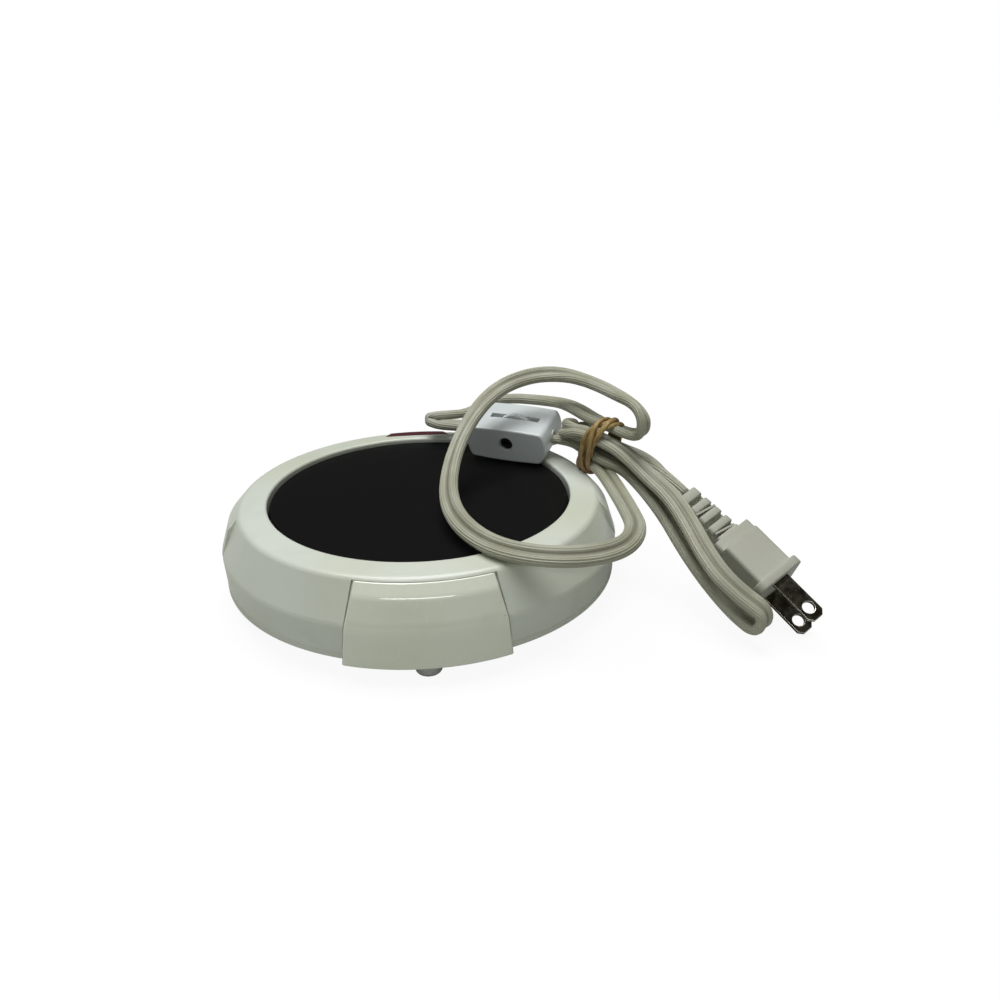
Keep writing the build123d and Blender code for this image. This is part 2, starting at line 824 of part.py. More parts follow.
def make_leads():
    """The six leads inside, from piece to piece."""
    low = floor_top + 2 * lead_radius
    terminal_low = pressure_bottom - thermostat_flange_sheet - thermostat_height - terminal_length
    half = terminal_spacing / 2
    pin_low = pressure_bottom - heater_pin_length
    pins = tab_places()
    fuse_z = fuse_height()
    fuse_end = fuse_length / 2
    lamp_end = lamp_length / 2
    resistor_end = lamp_end + resistor_length
    near = cord_tail_end - crimp_length
    near_left = [crimp_end(1, near), crimp_end(1, near - lead_drop)]
    near_right = [crimp_end(-1, near - lead_drop), crimp_end(-1, near)]
    far_left = [crimp_end(1, cord_tail_end + lead_drop), crimp_end(1, cord_tail_end)]
    far_right = [crimp_end(-1, cord_tail_end + lead_drop), crimp_end(-1, cord_tail_end)]
    lamp_lead = [(lamp_end, lamp_place, lamp_height), (lamp_end + lead_drop, lamp_place, lamp_height)]
    resistor_lead = [
        (-resistor_end, lamp_place, lamp_height),
        (-resistor_end - lead_drop, lamp_place, lamp_height),
    ]
    routes = {
        "lead_cord_to_thermostat": [*near_left, *lead_a_points, (-thermostat_place, half, low),
                                    (-thermostat_place, half, terminal_low)],
        "lead_thermostat_to_heater": [(-thermostat_place, -half, terminal_low),
                                      (-thermostat_place, -half, low), *lead_b_points,
                                      (*pins[0], pin_low - lead_drop), (*pins[0], pin_low)],
        "lead_heater_to_fuse": [(*pins[1], pin_low), (*pins[1], pin_low - lead_drop), *lead_c_points,
                                (fuse_place, -fuse_end - lead_drop, fuse_z),
                                (fuse_place, -fuse_end, fuse_z)],
        "lead_fuse_to_cord": [(fuse_place, fuse_end, fuse_z), (fuse_place, fuse_end + lead_drop, fuse_z),
                              *lead_d_points, *near_right],
        "lead_lamp_to_cord": [*lamp_lead, *lead_e_points, *far_right],
        "lead_resistor_to_cord": [*resistor_lead, *lead_f_points, *far_left],
    }
    return {node: tube(points, lead_radius)[0] for node, points in routes.items()}


def switch_plane():
    return Plane(switch_centre, x_dir=switch_along, z_dir=switch_front)


def switch_outline(inset):
    """Outline of the switch seen from its screw face: crowned top, bulging ends."""
    half = switch_face_length / 2 - inset
    end = switch_length / 2 - inset
    top = switch_height / 2 - inset
    low = top - switch_crown
    edges = [
        ThreePointArc((-half, low), (0, top), (half, low)),
        ThreePointArc((half, low), (end, 0), (half, -low)),
        ThreePointArc((half, -low), (0, -top), (-half, -low)),
        ThreePointArc((-half, -low), (-end, 0), (-half, low)),
    ]
    face = make_face(edges)
    return fillet(face.vertices(), max(switch_corner - inset, switch_round))


def switch_half(side):
    """Half the switch's shell: wall, boss for the axle, cord rests and the wheel's slots."""
    depth = switch_depth / 2
    shell = extrude(switch_outline(0), depth)
    shell = fillet(shell.faces().sort_by(Axis.Z)[-1].edges(), switch_round)
    shell -= extrude(switch_outline(switch_wall), depth - switch_wall)
    for end in (-1, 1):
        rest = Pos(end * (switch_length - switch_rest_length) / 2, 0, 0) * Rot(0, 90, 0)
        shell += rest * Cylinder(switch_rest_radius, switch_rest_length) & Pos(0, 0, depth / 2) * Box(
            2 * switch_length, switch_height, depth
        )
    boss_low = wheel_hub_sheet / 2 + wheel_side_gap
    boss_high = depth - switch_wall
    shell += drum(switch_boss_radius, boss_low, boss_high, 0, wheel_offset)
    slot = Pos(0, 0, (wheel_sheet / 2 + wheel_side_gap) / 2)
    shell -= slot * Box(wheel_slot_length, 2 * switch_height, wheel_sheet / 2 + wheel_side_gap)
    sink = switch_axle_length / 2 + running_gap
    shell -= drum(axle_radius + running_gap, 0, sink, 0, wheel_offset)
    shell -= drum(switch_screw_radius + running_gap, 0, depth, 0, wheel_offset)
    if side > 0:
        recess = switch_screw_recess + switch_screw_head_height
        shell -= drum(switch_recess_radius, depth - recess, depth, 0, wheel_offset)
        return switch_plane() * shell
    recess = switch_nut_recess + switch_nut_height
    nut = Pos(0, wheel_offset, 0) * hexagon(switch_nut_width + fit_gap, depth - recess, depth)
    return switch_plane() * mirror(shell - nut, Plane.XY)


def make_wheel():
    """The knurled thumbwheel with its hub, bored for the axle."""
    wheel = drum(wheel_radius, -wheel_sheet / 2, wheel_sheet / 2)
    for step in range(wheel_knurls):
        groove = Rot(0, 0, 360 * step / wheel_knurls) * Pos(wheel_radius, 0, 0)
        wheel -= groove * Rot(0, 0, 45) * Box(wheel_knurl_depth, wheel_knurl_depth, wheel_sheet)
    wheel += drum(wheel_hub_radius, -wheel_hub_sheet / 2, wheel_hub_sheet / 2)
    wheel -= drum(axle_radius + running_gap, -wheel_hub_sheet, wheel_hub_sheet)
    return switch_plane() * Pos(0, wheel_offset, 0) * wheel


def make_axle():
    """The brass sleeve that the wheel turns on, clamped between the two halves."""
    half = switch_axle_length / 2
    sleeve = drum(axle_radius, -half, half, 0, wheel_offset)
    return switch_plane() * (sleeve - drum(switch_screw_radius + running_gap, -half, half, 0, wheel_offset))


def make_switch_screw():
    """The screw through the switch, its head sunk in the front face."""
    seat = switch_depth / 2 - switch_screw_recess - switch_screw_head_height
    end = -(switch_depth / 2 - switch_nut_recess)
    screw = drum(switch_screw_radius, end, seat)
    screw += drum(switch_screw_head_radius, seat, seat + switch_screw_head_height)
    slot = Pos(0, 0, seat + switch_screw_head_height)
    screw -= slot * Box(3 * switch_screw_head_radius, screw_slot_width, switch_screw_head_height)
    return switch_plane() * Pos(0, wheel_offset, 0) * screw


def make_switch_nut():
    outer = -(switch_depth / 2 - switch_nut_recess)
    nut = hexagon(switch_nut_width, outer, outer + switch_nut_height)
    nut -= drum(switch_screw_radius + running_gap, outer, outer + switch_nut_height)
    return switch_plane() * Pos(0, wheel_offset, 0) * nut


def make_contacts():
    """Two angled contact strips that stand on the back half's floor."""
    floor = -(switch_depth / 2 - switch_wall)
    contacts = []
    for side in (-1, 1):
        near = side * (switch_boss_radius + contact_sheet)
        base = Pos(near + side * contact_length / 2, 0, floor + contact_sheet / 2)
        strip = base * Box(contact_length, contact_width, contact_sheet)
        blade = Pos(near + side * (contact_length - contact_sheet / 2), 0, floor + contact_depth / 2)
        contacts.append(switch_plane() * (strip + blade * Box(contact_sheet, contact_width, contact_depth)))
    return contacts


def plug_plane():
    return Plane(plug_face, x_dir=plug_along, z_dir=plug_across)


def plug_block(front, back, height, width, round_radius):
    """A block of the plug between two distances behind its face, with rounded long edges."""
    block = Pos(-(front + back) / 2, 0, 0) * Box(back - front, height, width)
    return fillet(block.edges().filter_by(Axis.X), round_radius)


def make_relief():
    """The tapering strain relief with slots cut from alternate sides."""
    start = plug_length + plug_collar_length
    ends = []
    for back, height, width in (
        (start, plug_relief_height, plug_relief_width),
        (plug_total_length, plug_relief_tip_height, plug_relief_tip_width),
    ):
        plane = Plane((-back, 0, 0), x_dir=(0, 1, 0), z_dir=(1, 0, 0))
        ends.append(plane * RectangleRounded(height, width, plug_round))
    relief = loft(ends)
    pitch = (plug_total_length - start) / (2 * plug_slots + 1)
    for step in range(2 * plug_slots):
        side = 1 if step % 2 else -1
        middle = start + pitch * (step + 1)
        cut = Pos(-middle, 0, side * (plug_slot_core + plug_relief_width) / 2)
        relief -= cut * Box(plug_slot_width, 2 * plug_relief_height, plug_relief_width)
    return relief


def plug_core_block():
    return Pos(-core_inset - core_length / 2, 0, 0) * Box(core_length, core_height, core_width)


def blade_block(side, length, gap):
    """One flat blade, from its root in the core to a length in front of the face."""
    root = core_inset + blade_root
    block = Box(length + root, blade_width + 2 * gap, blade_sheet + 2 * gap)
    return Pos((length - root) / 2, 0, side * blade_spacing / 2) * block


def make_plug_body():
    """The moulded cover: face flange, body, collar and ribbed strain relief."""
    body = plug_block(0, plug_flange_length, plug_flange_height, plug_flange_width, plug_flange_round)
    body += plug_block(plug_flange_length, plug_length, plug_height, plug_width, plug_round)
    collar_end = plug_length + plug_collar_length
    body += plug_block(plug_length, collar_end, plug_collar_height, plug_collar_width, plug_round)
    body += make_relief()
    body -= plug_core_block()
    for side in (-1, 1):
        body -= blade_block(side, 0, 0)
    return plug_plane() * body


def make_plug_core():
    core = plug_core_block()
    for side in (-1, 1):
        core -= blade_block(side, 0, 0)
    return plug_plane() * core


def make_blade(side):
    """One brass blade with chamfered tip corners and a round hole."""
    blade = blade_block(side, blade_length, 0)
    tip = [
        edge
        for edge in blade.edges().filter_by(Axis.Z)
        if abs(edge.center().X - blade_length) < pick_reach
    ]
    blade = chamfer(tip, blade_sheet)
    hole = Pos(blade_length - blade_hole_inset, 0, side * blade_spacing / 2)
    return plug_plane() * (blade - hole * Cylinder(blade_hole_radius, 2 * blade_sheet))


def tie_plane():
    """Plane across the bundle: x across it, y up, z along it."""
    along = (cos(radians(tie_yaw)), sin(radians(tie_yaw)), 0)
    across = (-sin(radians(tie_yaw)), cos(radians(tie_yaw)), 0)
    return Plane(tie_centre, x_dir=across, z_dir=along)


def tie_points():
    """Corner points of the tie's winding, which moves along by a pitch a turn."""
    corners = [(-tie_back, -tie_low), (-tie_back, tie_high), (tie_front, tie_high), (tie_front, -tie_low)]
    count = tie_turns * len(corners)
    start = -tie_pitch * tie_turns / 2
    local = [(0, -tie_low, start)]
    for step in range(count):
        x, y = corners[step % len(corners)]
        local.append((x, y, start + tie_pitch * (step + 1 / 2) / len(corners)))
    local.append((0, -tie_low, -start))
    plane = tie_plane()
    return [plane.from_local_coords(Vector(*point)) for point in local]


def make_tie():
    """The winding, as one unbroken round tube with the corner round of the real band."""
    points = tie_points()
    path = FilletPolyline(*points, radius=tie_corner_round)
    section = Plane(path @ 0, z_dir=path % 0) * Circle(tie_strand_radius)
    return sweep(section, path=path), path


def switch_end(side, reach):
    """A point on the switch's long axis, beyond one of its ends."""
    return Vector(*switch_centre) + switch_plane().x_dir * (side * (switch_length / 2 + reach))


def body_points():
    """The free cord's route: gland, round the bundle and the plate, switch's left end."""
    start = polar(gland_tail_end, gland_angle, gland_height)
    first = polar(gland_tail_end + cord_straight, gland_angle, gland_height)
    ends = [switch_end(-1, cord_straight), switch_end(-1, 0)]
    return [start, first, *body_route, *ends]


def hank_points():
    """The hank's route: switch's right end, through the tie and back, the plug."""
    along = plug_plane().x_dir
    end = Vector(*plug_face) - along * plug_total_length
    before = end - along * cord_straight
    starts = [switch_end(1, 0), switch_end(1, cord_straight)]
    return [*starts, *hank_route, before, end]


def least_gap(path, radius):
    """The least gap between parts of a tube that are far apart along it."""
    count = int(path.length / sample_step)
    spots = [path @ (step / count) for step in range(count + 1)]
    apart = int(4 * radius / sample_step) + 2
    best = (path.length, 0, 0)
    for first in range(count + 1):
        for second in range(first + apart, count + 1):
            best = min(best, ((spots[first] - spots[second]).length, first, second))
    print("closest at", [[round(v, 1) for v in spots[place]] for place in best[1:]])
    return best[0] - 2 * radius


def report(node, solid, path, radius, points):
    """Print a tube's radii, length, volume check and least gap to itself."""
    section = pi * radius * radius
    radii = corner_radii(points)
    print(node, "radii", [round(r, 1) for r in radii])
    print(node, "smallest radius", round(min(radii), 2), "length", round(path.length, 1))
    print(node, "volume over section x length", round(solid.volume / (section * path.length), 4))
    print(node, "least gap to itself", round(least_gap(path, radius), 2))


os.makedirs("parts", exist_ok=True)

save("top_housing", make_top_housing())
save("base_cover", make_base_cover())
save("front_panel", make_front_panel())
save("indicator_lens", make_lens())
save("heating_plate", make_plate())
save("plate_gasket", make_gasket())
save("plate_retainer", make_retainer())
retainer_low = flange_bottom - retainer_sheet
save(
    "retainer_screws",
    *[
        pan_screw(place.X, place.Y, retainer_low, retainer_screw_length, False)
        for place in [polar(retainer_ear_place, angle) for angle in retainer_angles]
    ],
)
save(
    "base_screws",
    *[
        pan_screw(place.X, place.Y, base_bottom + screw_head_height, screw_length - screw_head_height, False)
        for place in [polar(boss_place, angle) for angle in boss_angles]
    ],
)
save("feet", *[make_foot(angle) for angle in foot_angles])
save("heating_element", make_heater())
save("insulation_pad", make_layer(pad_radius, pad_bottom, heater_bottom))
save("pressure_plate", make_layer(pressure_radius, pressure_bottom, pad_bottom))
save("plate_stud", make_stud())
save("stud_washer", make_stud_washer())
save("stud_nut", make_stud_nut())
save("thermostat", make_thermostat())
save("thermostat_terminals", *make_thermostat_terminals())
save("thermal_fuse", make_fuse())
save("fuse_clip", make_fuse_clip())
save("neon_lamp", make_lamp())
save("lamp_holder", make_lamp_holder())
save("lamp_resistor", make_resistor())
save("cord_gland", make_gland())
tail_length = gland_tail_end - cord_tail_end
save("cord_tail", gland_plane(cord_tail_end + tail_length / 2) * Cylinder(cord_radius, tail_length))
save("cord_clamp", make_clamp())
clamp_top = gland_height + cord_radius + clamp_cheek
save("clamp_screws", *[pan_screw(x, y, clamp_top, clamp_screw_length, True) for x, y in clamp_screw_places()])
save("crimp_sleeves", *make_crimps())
for lead, solid in make_leads().items():
    save(lead, solid)

save("switch_front_half", switch_half(1))
save("switch_back_half", switch_half(-1))
save("thumbwheel", make_wheel())
save("switch_axle", make_axle())
save("switch_screw", make_switch_screw())
save("switch_nut", make_switch_nut())
save("switch_contacts", *make_contacts())

save("plug_body", make_plug_body())
save("plug_core", make_plug_core())
save("plug_blades", make_blade(-1), make_blade(1))

tie, tie_path = make_tie()
save("rubber_band", tie)
band_section = pi * tie_strand_radius * tie_strand_radius
print("rubber_band volume over section x length", round(tie.volume / (band_section * tie_path.length), 4))
print("rubber_band least gap to itself", round(least_gap(tie_path, tie_strand_radius), 2))

for node, points in (("cord_body_stretch", body_points()), ("cord_hank", hank_points())):
    solid, path = tube(points, cord_radius)
    save(node, solid)
    report(node, solid, path, cord_radius, points)
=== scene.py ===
import math

import bmesh
import bpy
from mathutils import Matrix, Vector


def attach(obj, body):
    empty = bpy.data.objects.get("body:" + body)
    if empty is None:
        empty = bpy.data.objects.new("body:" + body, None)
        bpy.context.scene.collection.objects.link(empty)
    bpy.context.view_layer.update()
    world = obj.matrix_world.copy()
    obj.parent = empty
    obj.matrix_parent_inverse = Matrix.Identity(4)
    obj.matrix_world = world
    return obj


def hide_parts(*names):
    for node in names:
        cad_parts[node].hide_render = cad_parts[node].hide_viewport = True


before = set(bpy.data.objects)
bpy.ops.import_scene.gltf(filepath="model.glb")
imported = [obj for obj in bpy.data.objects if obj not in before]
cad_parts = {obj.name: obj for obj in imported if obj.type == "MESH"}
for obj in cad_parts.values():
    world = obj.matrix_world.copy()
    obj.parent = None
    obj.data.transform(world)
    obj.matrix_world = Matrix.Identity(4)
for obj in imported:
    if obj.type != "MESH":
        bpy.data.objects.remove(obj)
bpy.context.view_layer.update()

# The camera stands in front of the warmer and looks down at it, in the photograph's
# square frame. Its axes are measured from the ellipses of the plate and the ring.
camera_place = Vector((0.0, -0.289205, 0.160168))
camera_right = Vector((0.9945, -0.1040, -0.0086))
camera_up = Vector((0.0507, 0.4097, 0.9108))
camera_back = camera_right.cross(camera_up).normalized()
camera_up = camera_back.cross(camera_right).normalized()
camera_right.normalize()
camera_turn = Matrix((camera_right, camera_up, camera_back)).transposed()
camera_data = bpy.data.cameras.new("camera")
camera_data.sensor_width = 36.0
camera_data.lens = 31.176
camera_data.clip_start = 0.01
camera = bpy.data.objects.new("camera", camera_data)
camera.matrix_world = Matrix.Translation(camera_place) @ camera_turn.to_4x4()
bpy.context.collection.objects.link(camera)
bpy.context.scene.camera = camera
bpy.context.scene.view_settings.view_transform = "Standard"


# Shader work is written with these two classes. A Field is a value that varies over a
# surface, and sums on it add Math nodes. A Finish is one procedural material.
class Field:
    def __init__(self, finish, socket):
        self.finish = finish
        self.socket = socket

    def __add__(self, other):
        return self.finish.maths("ADD", self, other)

    def __radd__(self, other):
        return self.finish.maths("ADD", other, self)

    def __sub__(self, other):
        return self.finish.maths("SUBTRACT", self, other)

    def __rsub__(self, other):
        return self.finish.maths("SUBTRACT", other, self)

    def __mul__(self, other):
        return self.finish.maths("MULTIPLY", self, other)

    def __pow__(self, other):
        return self.finish.maths("POWER", self, other)

    def between(self, low, high):
        """0 below the low value, 1 above the high one, and smooth from one to the other."""
        settings = {"interpolation_type": "SMOOTHSTEP"}
        sockets = {"Value": self, "From Min": low, "From Max": high}
        return self.finish.node("ShaderNodeMapRange", settings, sockets)


class Finish:
    def __init__(self, name):
        self.material = bpy.data.materials.new(name)
        self.material.use_nodes = True
        self.nodes = self.material.node_tree.nodes
        self.links = self.material.node_tree.links
        self.shader = self.nodes["Principled BSDF"]
        self.place = self.node("ShaderNodeTexCoord", output="Object")
        self.along = self.node("ShaderNodeTexCoord", output="UV")

    def node(self, kind, settings=None, sockets=None, output=0):
        """Adds a node with its settings and its inputs, and gives one of its outputs."""
        made = self.nodes.new(kind)
        for name, value in (settings or {}).items():
            setattr(made, name, value)
        for name, value in (sockets or {}).items():
            self.feed(made.inputs[name], value)
        return Field(self, made.outputs[output])

    def feed(self, socket, value):
        if isinstance(value, Field):
            self.links.new(value.socket, socket)
        else:
            socket.default_value = value

    def set(self, **values):
        """Feeds inputs of the material's shader, with _ in their names for a space."""
        for name, value in values.items():
            self.feed(self.shader.inputs[name.replace("_", " ")], value)

    def maths(self, operation, *values):
        return self.node("ShaderNodeMath", {"operation": operation}, dict(enumerate(values)))

    def split(self, vector):
        """The three parts of a vector field."""
        first = self.node("ShaderNodeSeparateXYZ", None, {0: vector})
        return [Field(self, part) for part in first.socket.node.outputs]

    def from_axis(self):
        """How far a point is from the upright axis through the middle of the plate."""
        x, y = self.split(self.place)[:2]
        return (x * x + y * y) ** 0.5

    def stretched(self, vector, factors):
        """A vector field with each part multiplied, which draws a pattern out."""
        return self.node("ShaderNodeVectorMath", {"operation": "MULTIPLY"}, {0: vector, 1: factors})

    def noise(self, size, detail=2.0, vector=None, seed=0.0):
        """Cloudy noise from 0 to 1, whose patches are about the given size in metres."""
        sockets = {"Vector": vector or self.place, "Scale": 1 / size, "Detail": detail, "W": seed}
        return self.node("ShaderNodeTexNoise", {"noise_dimensions": "4D"}, sockets)

    def specks(self, spacing, size, share):
        """Small round specks, each up to a size, in a share of the cells of a grid."""
        sockets = {"Vector": self.place, "Scale": 1 / spacing}
        near = self.node("ShaderNodeTexVoronoi", None, sockets, "Distance")
        colour = self.node("ShaderNodeTexVoronoi", None, sockets, "Color")
        chance = self.split(colour)[0]
        reach = size / spacing
        full_reach = reach * 0.55
        full_share = share * 0.4
        dot = 1 - near.between(full_reach, reach)
        return dot * chance.between(1 - share, 1 - full_share)

    def blend(self, factor, first, second):
        """A colour between two. A Mix node has its colours in inputs 6 and 7, output 2."""
        sockets = {0: factor, 6: first, 7: second}
        return self.node("ShaderNodeMix", {"data_type": "RGBA"}, sockets, output=2)

    def bump(self, height, depth):
        """Relief from a height field of 0 to 1 that stands for a depth in metres."""
        sockets = {"Height": height, "Distance": depth, "Strength": 1.0}
        self.set(Normal=self.node("ShaderNodeBump", None, sockets))


def shade(red, green, blue):
    """A colour from its screen values of 0 to 255, as the linear colour that shaders use."""
    linear = [((c / 255 + 0.055) / 1.055) ** 2.4 for c in (red, green, blue)]
    return (*linear, 1.0)


def dress(finish, *nodes):
    """Gives the meshes of CAD nodes a better material in their own slots."""
    for node in nodes:
        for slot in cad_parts[node].material_slots:
            slot.link = "OBJECT"
            slot.material = finish.material


def add_piece(name, mesh, *finishes):
    """An object for a mesh that is new to the scene, with its materials."""
    piece = bpy.data.objects.new(name, mesh)
    bpy.context.collection.objects.link(piece)
    for finish in finishes:
        mesh.materials.append(finish.material)
    return piece


# The moulded shell is glossy white plastic that has gone slightly ivory. It has slow
# shifts of tone, a fine moulded skin, faint scratches and a few dark dust specks.
def moulded(name, colour, aged, roughness, grime, skin=0.00004):
    """A moulded plastic. Grime is the strength of its dust, and skin the depth of its relief."""
    finish = Finish(name)
    slow = finish.noise(size=0.045, detail=1.5)
    cloudy = finish.noise(size=0.009, detail=3.0, seed=2.0)
    handled = finish.noise(size=0.02, detail=4.0, seed=7.0)
    skin_relief = finish.noise(size=0.0009, detail=2.0, seed=3.0)
    drawn = finish.stretched(finish.place, (1.0, 0.06, 0.35))
    scratch = finish.noise(size=0.0006, detail=1.0, vector=drawn, seed=4.0).between(0.66, 0.72)
    dust = finish.specks(spacing=0.006, size=0.00028, share=0.16)
    darker = tuple(c * 0.86 for c in aged[:3]) + (1.0,)
    tone = finish.blend(slow.between(0.32, 0.7), colour, aged)
    tone = finish.blend(cloudy.between(0.5, 0.85) * 0.35, tone, darker)
    tone = finish.blend(dust * grime, tone, shade(70, 66, 56))
    finish.set(Base_Color=tone, Roughness=roughness + handled * 0.16 + scratch * 0.12)
    finish.set(Coat_Weight=0.25, Coat_Roughness=0.12)
    finish.bump(skin_relief + scratch * -0.15, skin)
    return finish


housing_white = moulded(
    "housing_white", shade(212, 218, 208), shade(204, 209, 191), roughness=0.26, grime=0.7
)
dress(housing_white, "top_housing")
base_white = moulded(
    "base_white", shade(205, 209, 198), shade(196, 199, 182), roughness=0.34, grime=0.8
)
dress(base_white, "base_cover")


# The front panel is a separate glossy cover, moulded in the same white, more polished
# than the shell, with rounded edges that catch the light. Its badge place is bare.
# Each corner of its section is (radius from the axis, height, rounding), in millimetres,
# and each width is (height, half the width there). Two pegs hold it from behind.
metre = 1000
panel_corners = [
    (63.65, 32.4, 0.0), (64.7, 32.4, 1.1), (67.9, 28.9, 7.0), (71.8, 19.8, 14.0),
    (71.9, 6.4, 0.6), (70.55, 6.4, 0.0), (69.9, 19.8, 0.0),
]
panel_widths = [(32.4, 21.17), (19.8, 24.81), (6.4, 26.23)]
panel_side_round = 0.6
panel_columns = 60
panel_edge_columns = [0.0, 0.0035, 0.0085, 0.016, 0.026, 0.04]
panel_sharp = math.radians(40)
round_steps = 8
flat_before = 0.2
flat_after = 0.3
peg_radius = 1.5
peg_angle = 12
peg_height = 23.0
peg_start = 64.4
peg_end = 68.9


def rounded_section(corners):
    """The corners of a closed section with their roundings, as (radius, height) points."""
    points = []
    for index, (radius, height, rounding) in enumerate(corners):
        here = Vector((radius, height))
        if rounding == 0:
            points.append(here)
            continue
        into = (here - Vector(corners[index - 1][:2])).normalized()
        out = (Vector(corners[(index + 1) % len(corners)][:2]) - here).normalized()
        reach = rounding * math.tan(into.angle(out) / 2)
        points.append(here - into * (reach + flat_before))
        for step in range(round_steps + 1):
            share = step / round_steps
            points.append(here - into * reach * (1 - share) ** 2 + out * reach * share ** 2)
        points.append(here + out * (reach + flat_after))
    return points


def half_width(height):
    for (high, narrow), (low, wide) in zip(panel_widths, panel_widths[1:]):
        if height >= low:
            return wide + (narrow - wide) * (height - low) / (high - low)
    return wide


def moulded_mesh(name, build, sharp):
    """A mesh from a finished build, smooth but for its edges above a sharp angle."""
    for face in build.faces:
        face.smooth = True
    mesh = bpy.data.meshes.new(name)
    build.to_mesh(mesh)
    build.free()
    mesh.set_sharp_from_angle(angle=sharp)
    return mesh


panel_section = rounded_section(panel_corners)
outer_count = len(panel_section) - 2
left_columns = [place - 1 for place in panel_edge_columns]
inner_columns = [2 * step / panel_columns - 1 for step in range(2, panel_columns - 1)]
right_columns = [-place for place in reversed(left_columns)]
panel_build = bmesh.new()
panel_rings = []
for place in left_columns + inner_columns + right_columns:
    ring = []
    for index, point in enumerate(panel_section):
        edge = min(1.0, half_width(point.y) * (1 - abs(place)) / panel_side_round)
        inset = panel_side_round * (1 - math.sqrt(1 - (1 - edge) ** 2))
        radius = point.x - (inset if 0 < index < outer_count else 0.0)
        across = place * half_width(point.y)
        depth = math.sqrt(radius * radius - across * across)
        ring.append(panel_build.verts.new((across / metre, -depth / metre, point.y / metre)))
    panel_rings.append(ring)
for before, after in zip(panel_rings, panel_rings[1:]):
    for index in range(len(panel_section)):
        ahead = (index + 1) % len(panel_section)
        panel_build.faces.new((before[index], before[ahead], after[ahead], after[index]))
panel_build.faces.new(panel_rings[0])
panel_build.faces.new(panel_rings[-1][::-1])
for side in (-1, 1):
    yaw = math.radians(side * peg_angle - 90)
    middle = (peg_start + peg_end) / 2
    centre = Vector((math.cos(yaw) * middle, math.sin(yaw) * middle, peg_height)) / metre
    aim = Matrix.Rotation(yaw, 4, "Z") @ Matrix.Rotation(math.pi / 2, 4, "Y")
    bmesh.ops.create_cone(
        panel_build,
        cap_ends=True,
        segments=32,
        radius1=peg_radius / metre,
        radius2=peg_radius / metre,
        depth=(peg_end - peg_start) / metre,
        matrix=Matrix.Translation(centre) @ aim,
    )
bmesh.ops.recalc_face_normals(panel_build, faces=panel_build.faces)
panel_white = moulded(
    "panel_white", shade(226, 231, 216), shade(219, 224, 201), roughness=0.12, grime=0.6, skin=0.00001
)
panel_white.set(Coat_Weight=1.0, Coat_IOR=1.7, Coat_Roughness=0.05)
panel_mesh = moulded_mesh("panel_moulded", panel_build, panel_sharp)
panel = add_piece("panel_moulded", panel_mesh, panel_white)
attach(panel, "body")
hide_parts("front_panel")

# The lens over the indicator lamp is dark red translucent plastic. A cloudy tone and a
# polished coat give its depth.
lens_red = Finish("lens_red")
lens_depth = lens_red.noise(size=0.004, detail=2.0)
lens_tone = lens_red.blend(lens_depth, shade(58, 7, 14), shade(90, 13, 22))
lens_red.set(Base_Color=lens_tone, Roughness=0.14 + lens_depth * 0.08)
lens_red.set(Coat_Weight=0.2, Specular_IOR_Level=0.3)
lens_red.bump(lens_red.noise(size=0.0012, detail=1.0), depth=0.00002)
dress(lens_red, "indicator_lens")

# The heated plate is pressed steel with a satin black coating. Jar bottoms have left
# faint rings and rubbed arcs on it, and there is a little pale dust.
rings_per_metre = 900.0
plate_black = Finish("plate_black")
plate_rings = plate_black.node(
    "ShaderNodeTexNoise",
    {"noise_dimensions": "1D"},
    {"W": plate_black.from_axis(), "Scale": rings_per_metre, "Detail": 3.0},
)
smear = plate_black.noise(size=0.016, detail=3.0, seed=1.0)
rubbed = plate_rings.between(0.55, 0.75) * smear.between(0.4, 0.75)
plate_dust = plate_black.specks(spacing=0.005, size=0.00022, share=0.12)
plate_tone = plate_black.blend(rubbed * 0.6, shade(9, 9, 9), shade(19, 19, 18))
plate_tone = plate_black.blend(plate_dust * 0.4, plate_tone, shade(70, 68, 62))
plate_black.set(Base_Color=plate_tone, Roughness=0.42 + smear * 0.12 - rubbed * 0.08)
plate_black.set(Specular_IOR_Level=0.08)
plate_black.bump(plate_black.noise(size=0.0007, detail=2.0, seed=5.0), depth=0.00003)
dress(plate_black, "heating_plate")

# The round feet are grey-white rubber, scuffed where they stand.
scuff_height = 0.0016
foot_rubber = Finish("foot_rubber")
foot_low = 1 - foot_rubber.split(foot_rubber.place)[2].between(0.0, scuff_height)
scuff = foot_low * foot_rubber.noise(size=0.0014, detail=3.0).between(0.3, 0.7)
foot_tone = foot_rubber.blend(scuff, shade(206, 208, 202), shade(150, 149, 140))
foot_rubber.set(Base_Color=foot_tone, Roughness=0.62 + foot_rubber.noise(size=0.003) * 0.15)
foot_rubber.bump(foot_rubber.noise(size=0.0005, detail=2.0), depth=0.00005)
dress(foot_rubber, "feet")


# Screws, nuts, clips and the pressure plate are zinc-plated steel, with brushed lines
# and cloudy plating. The brass and aluminium pieces are made the same way.
def metal(name, light, dark, roughness, drawn=(1.0, 1.0, 0.1)):
    """A brushed metal, whose lines run along the axis that is drawn out the most."""
    finish = Finish(name)
    lines = finish.noise(size=0.0003, detail=2.0, vector=finish.stretched(finish.place, drawn))
    cloud = finish.noise(size=0.004, detail=3.0, seed=3.0)
    tone = finish.blend(cloud.between(0.3, 0.75), light, dark)
    finish.set(Base_Color=tone, Metallic=1.0, Roughness=roughness + lines * 0.14 + cloud * 0.1)
    finish.bump(lines, depth=0.00001)
    return finish


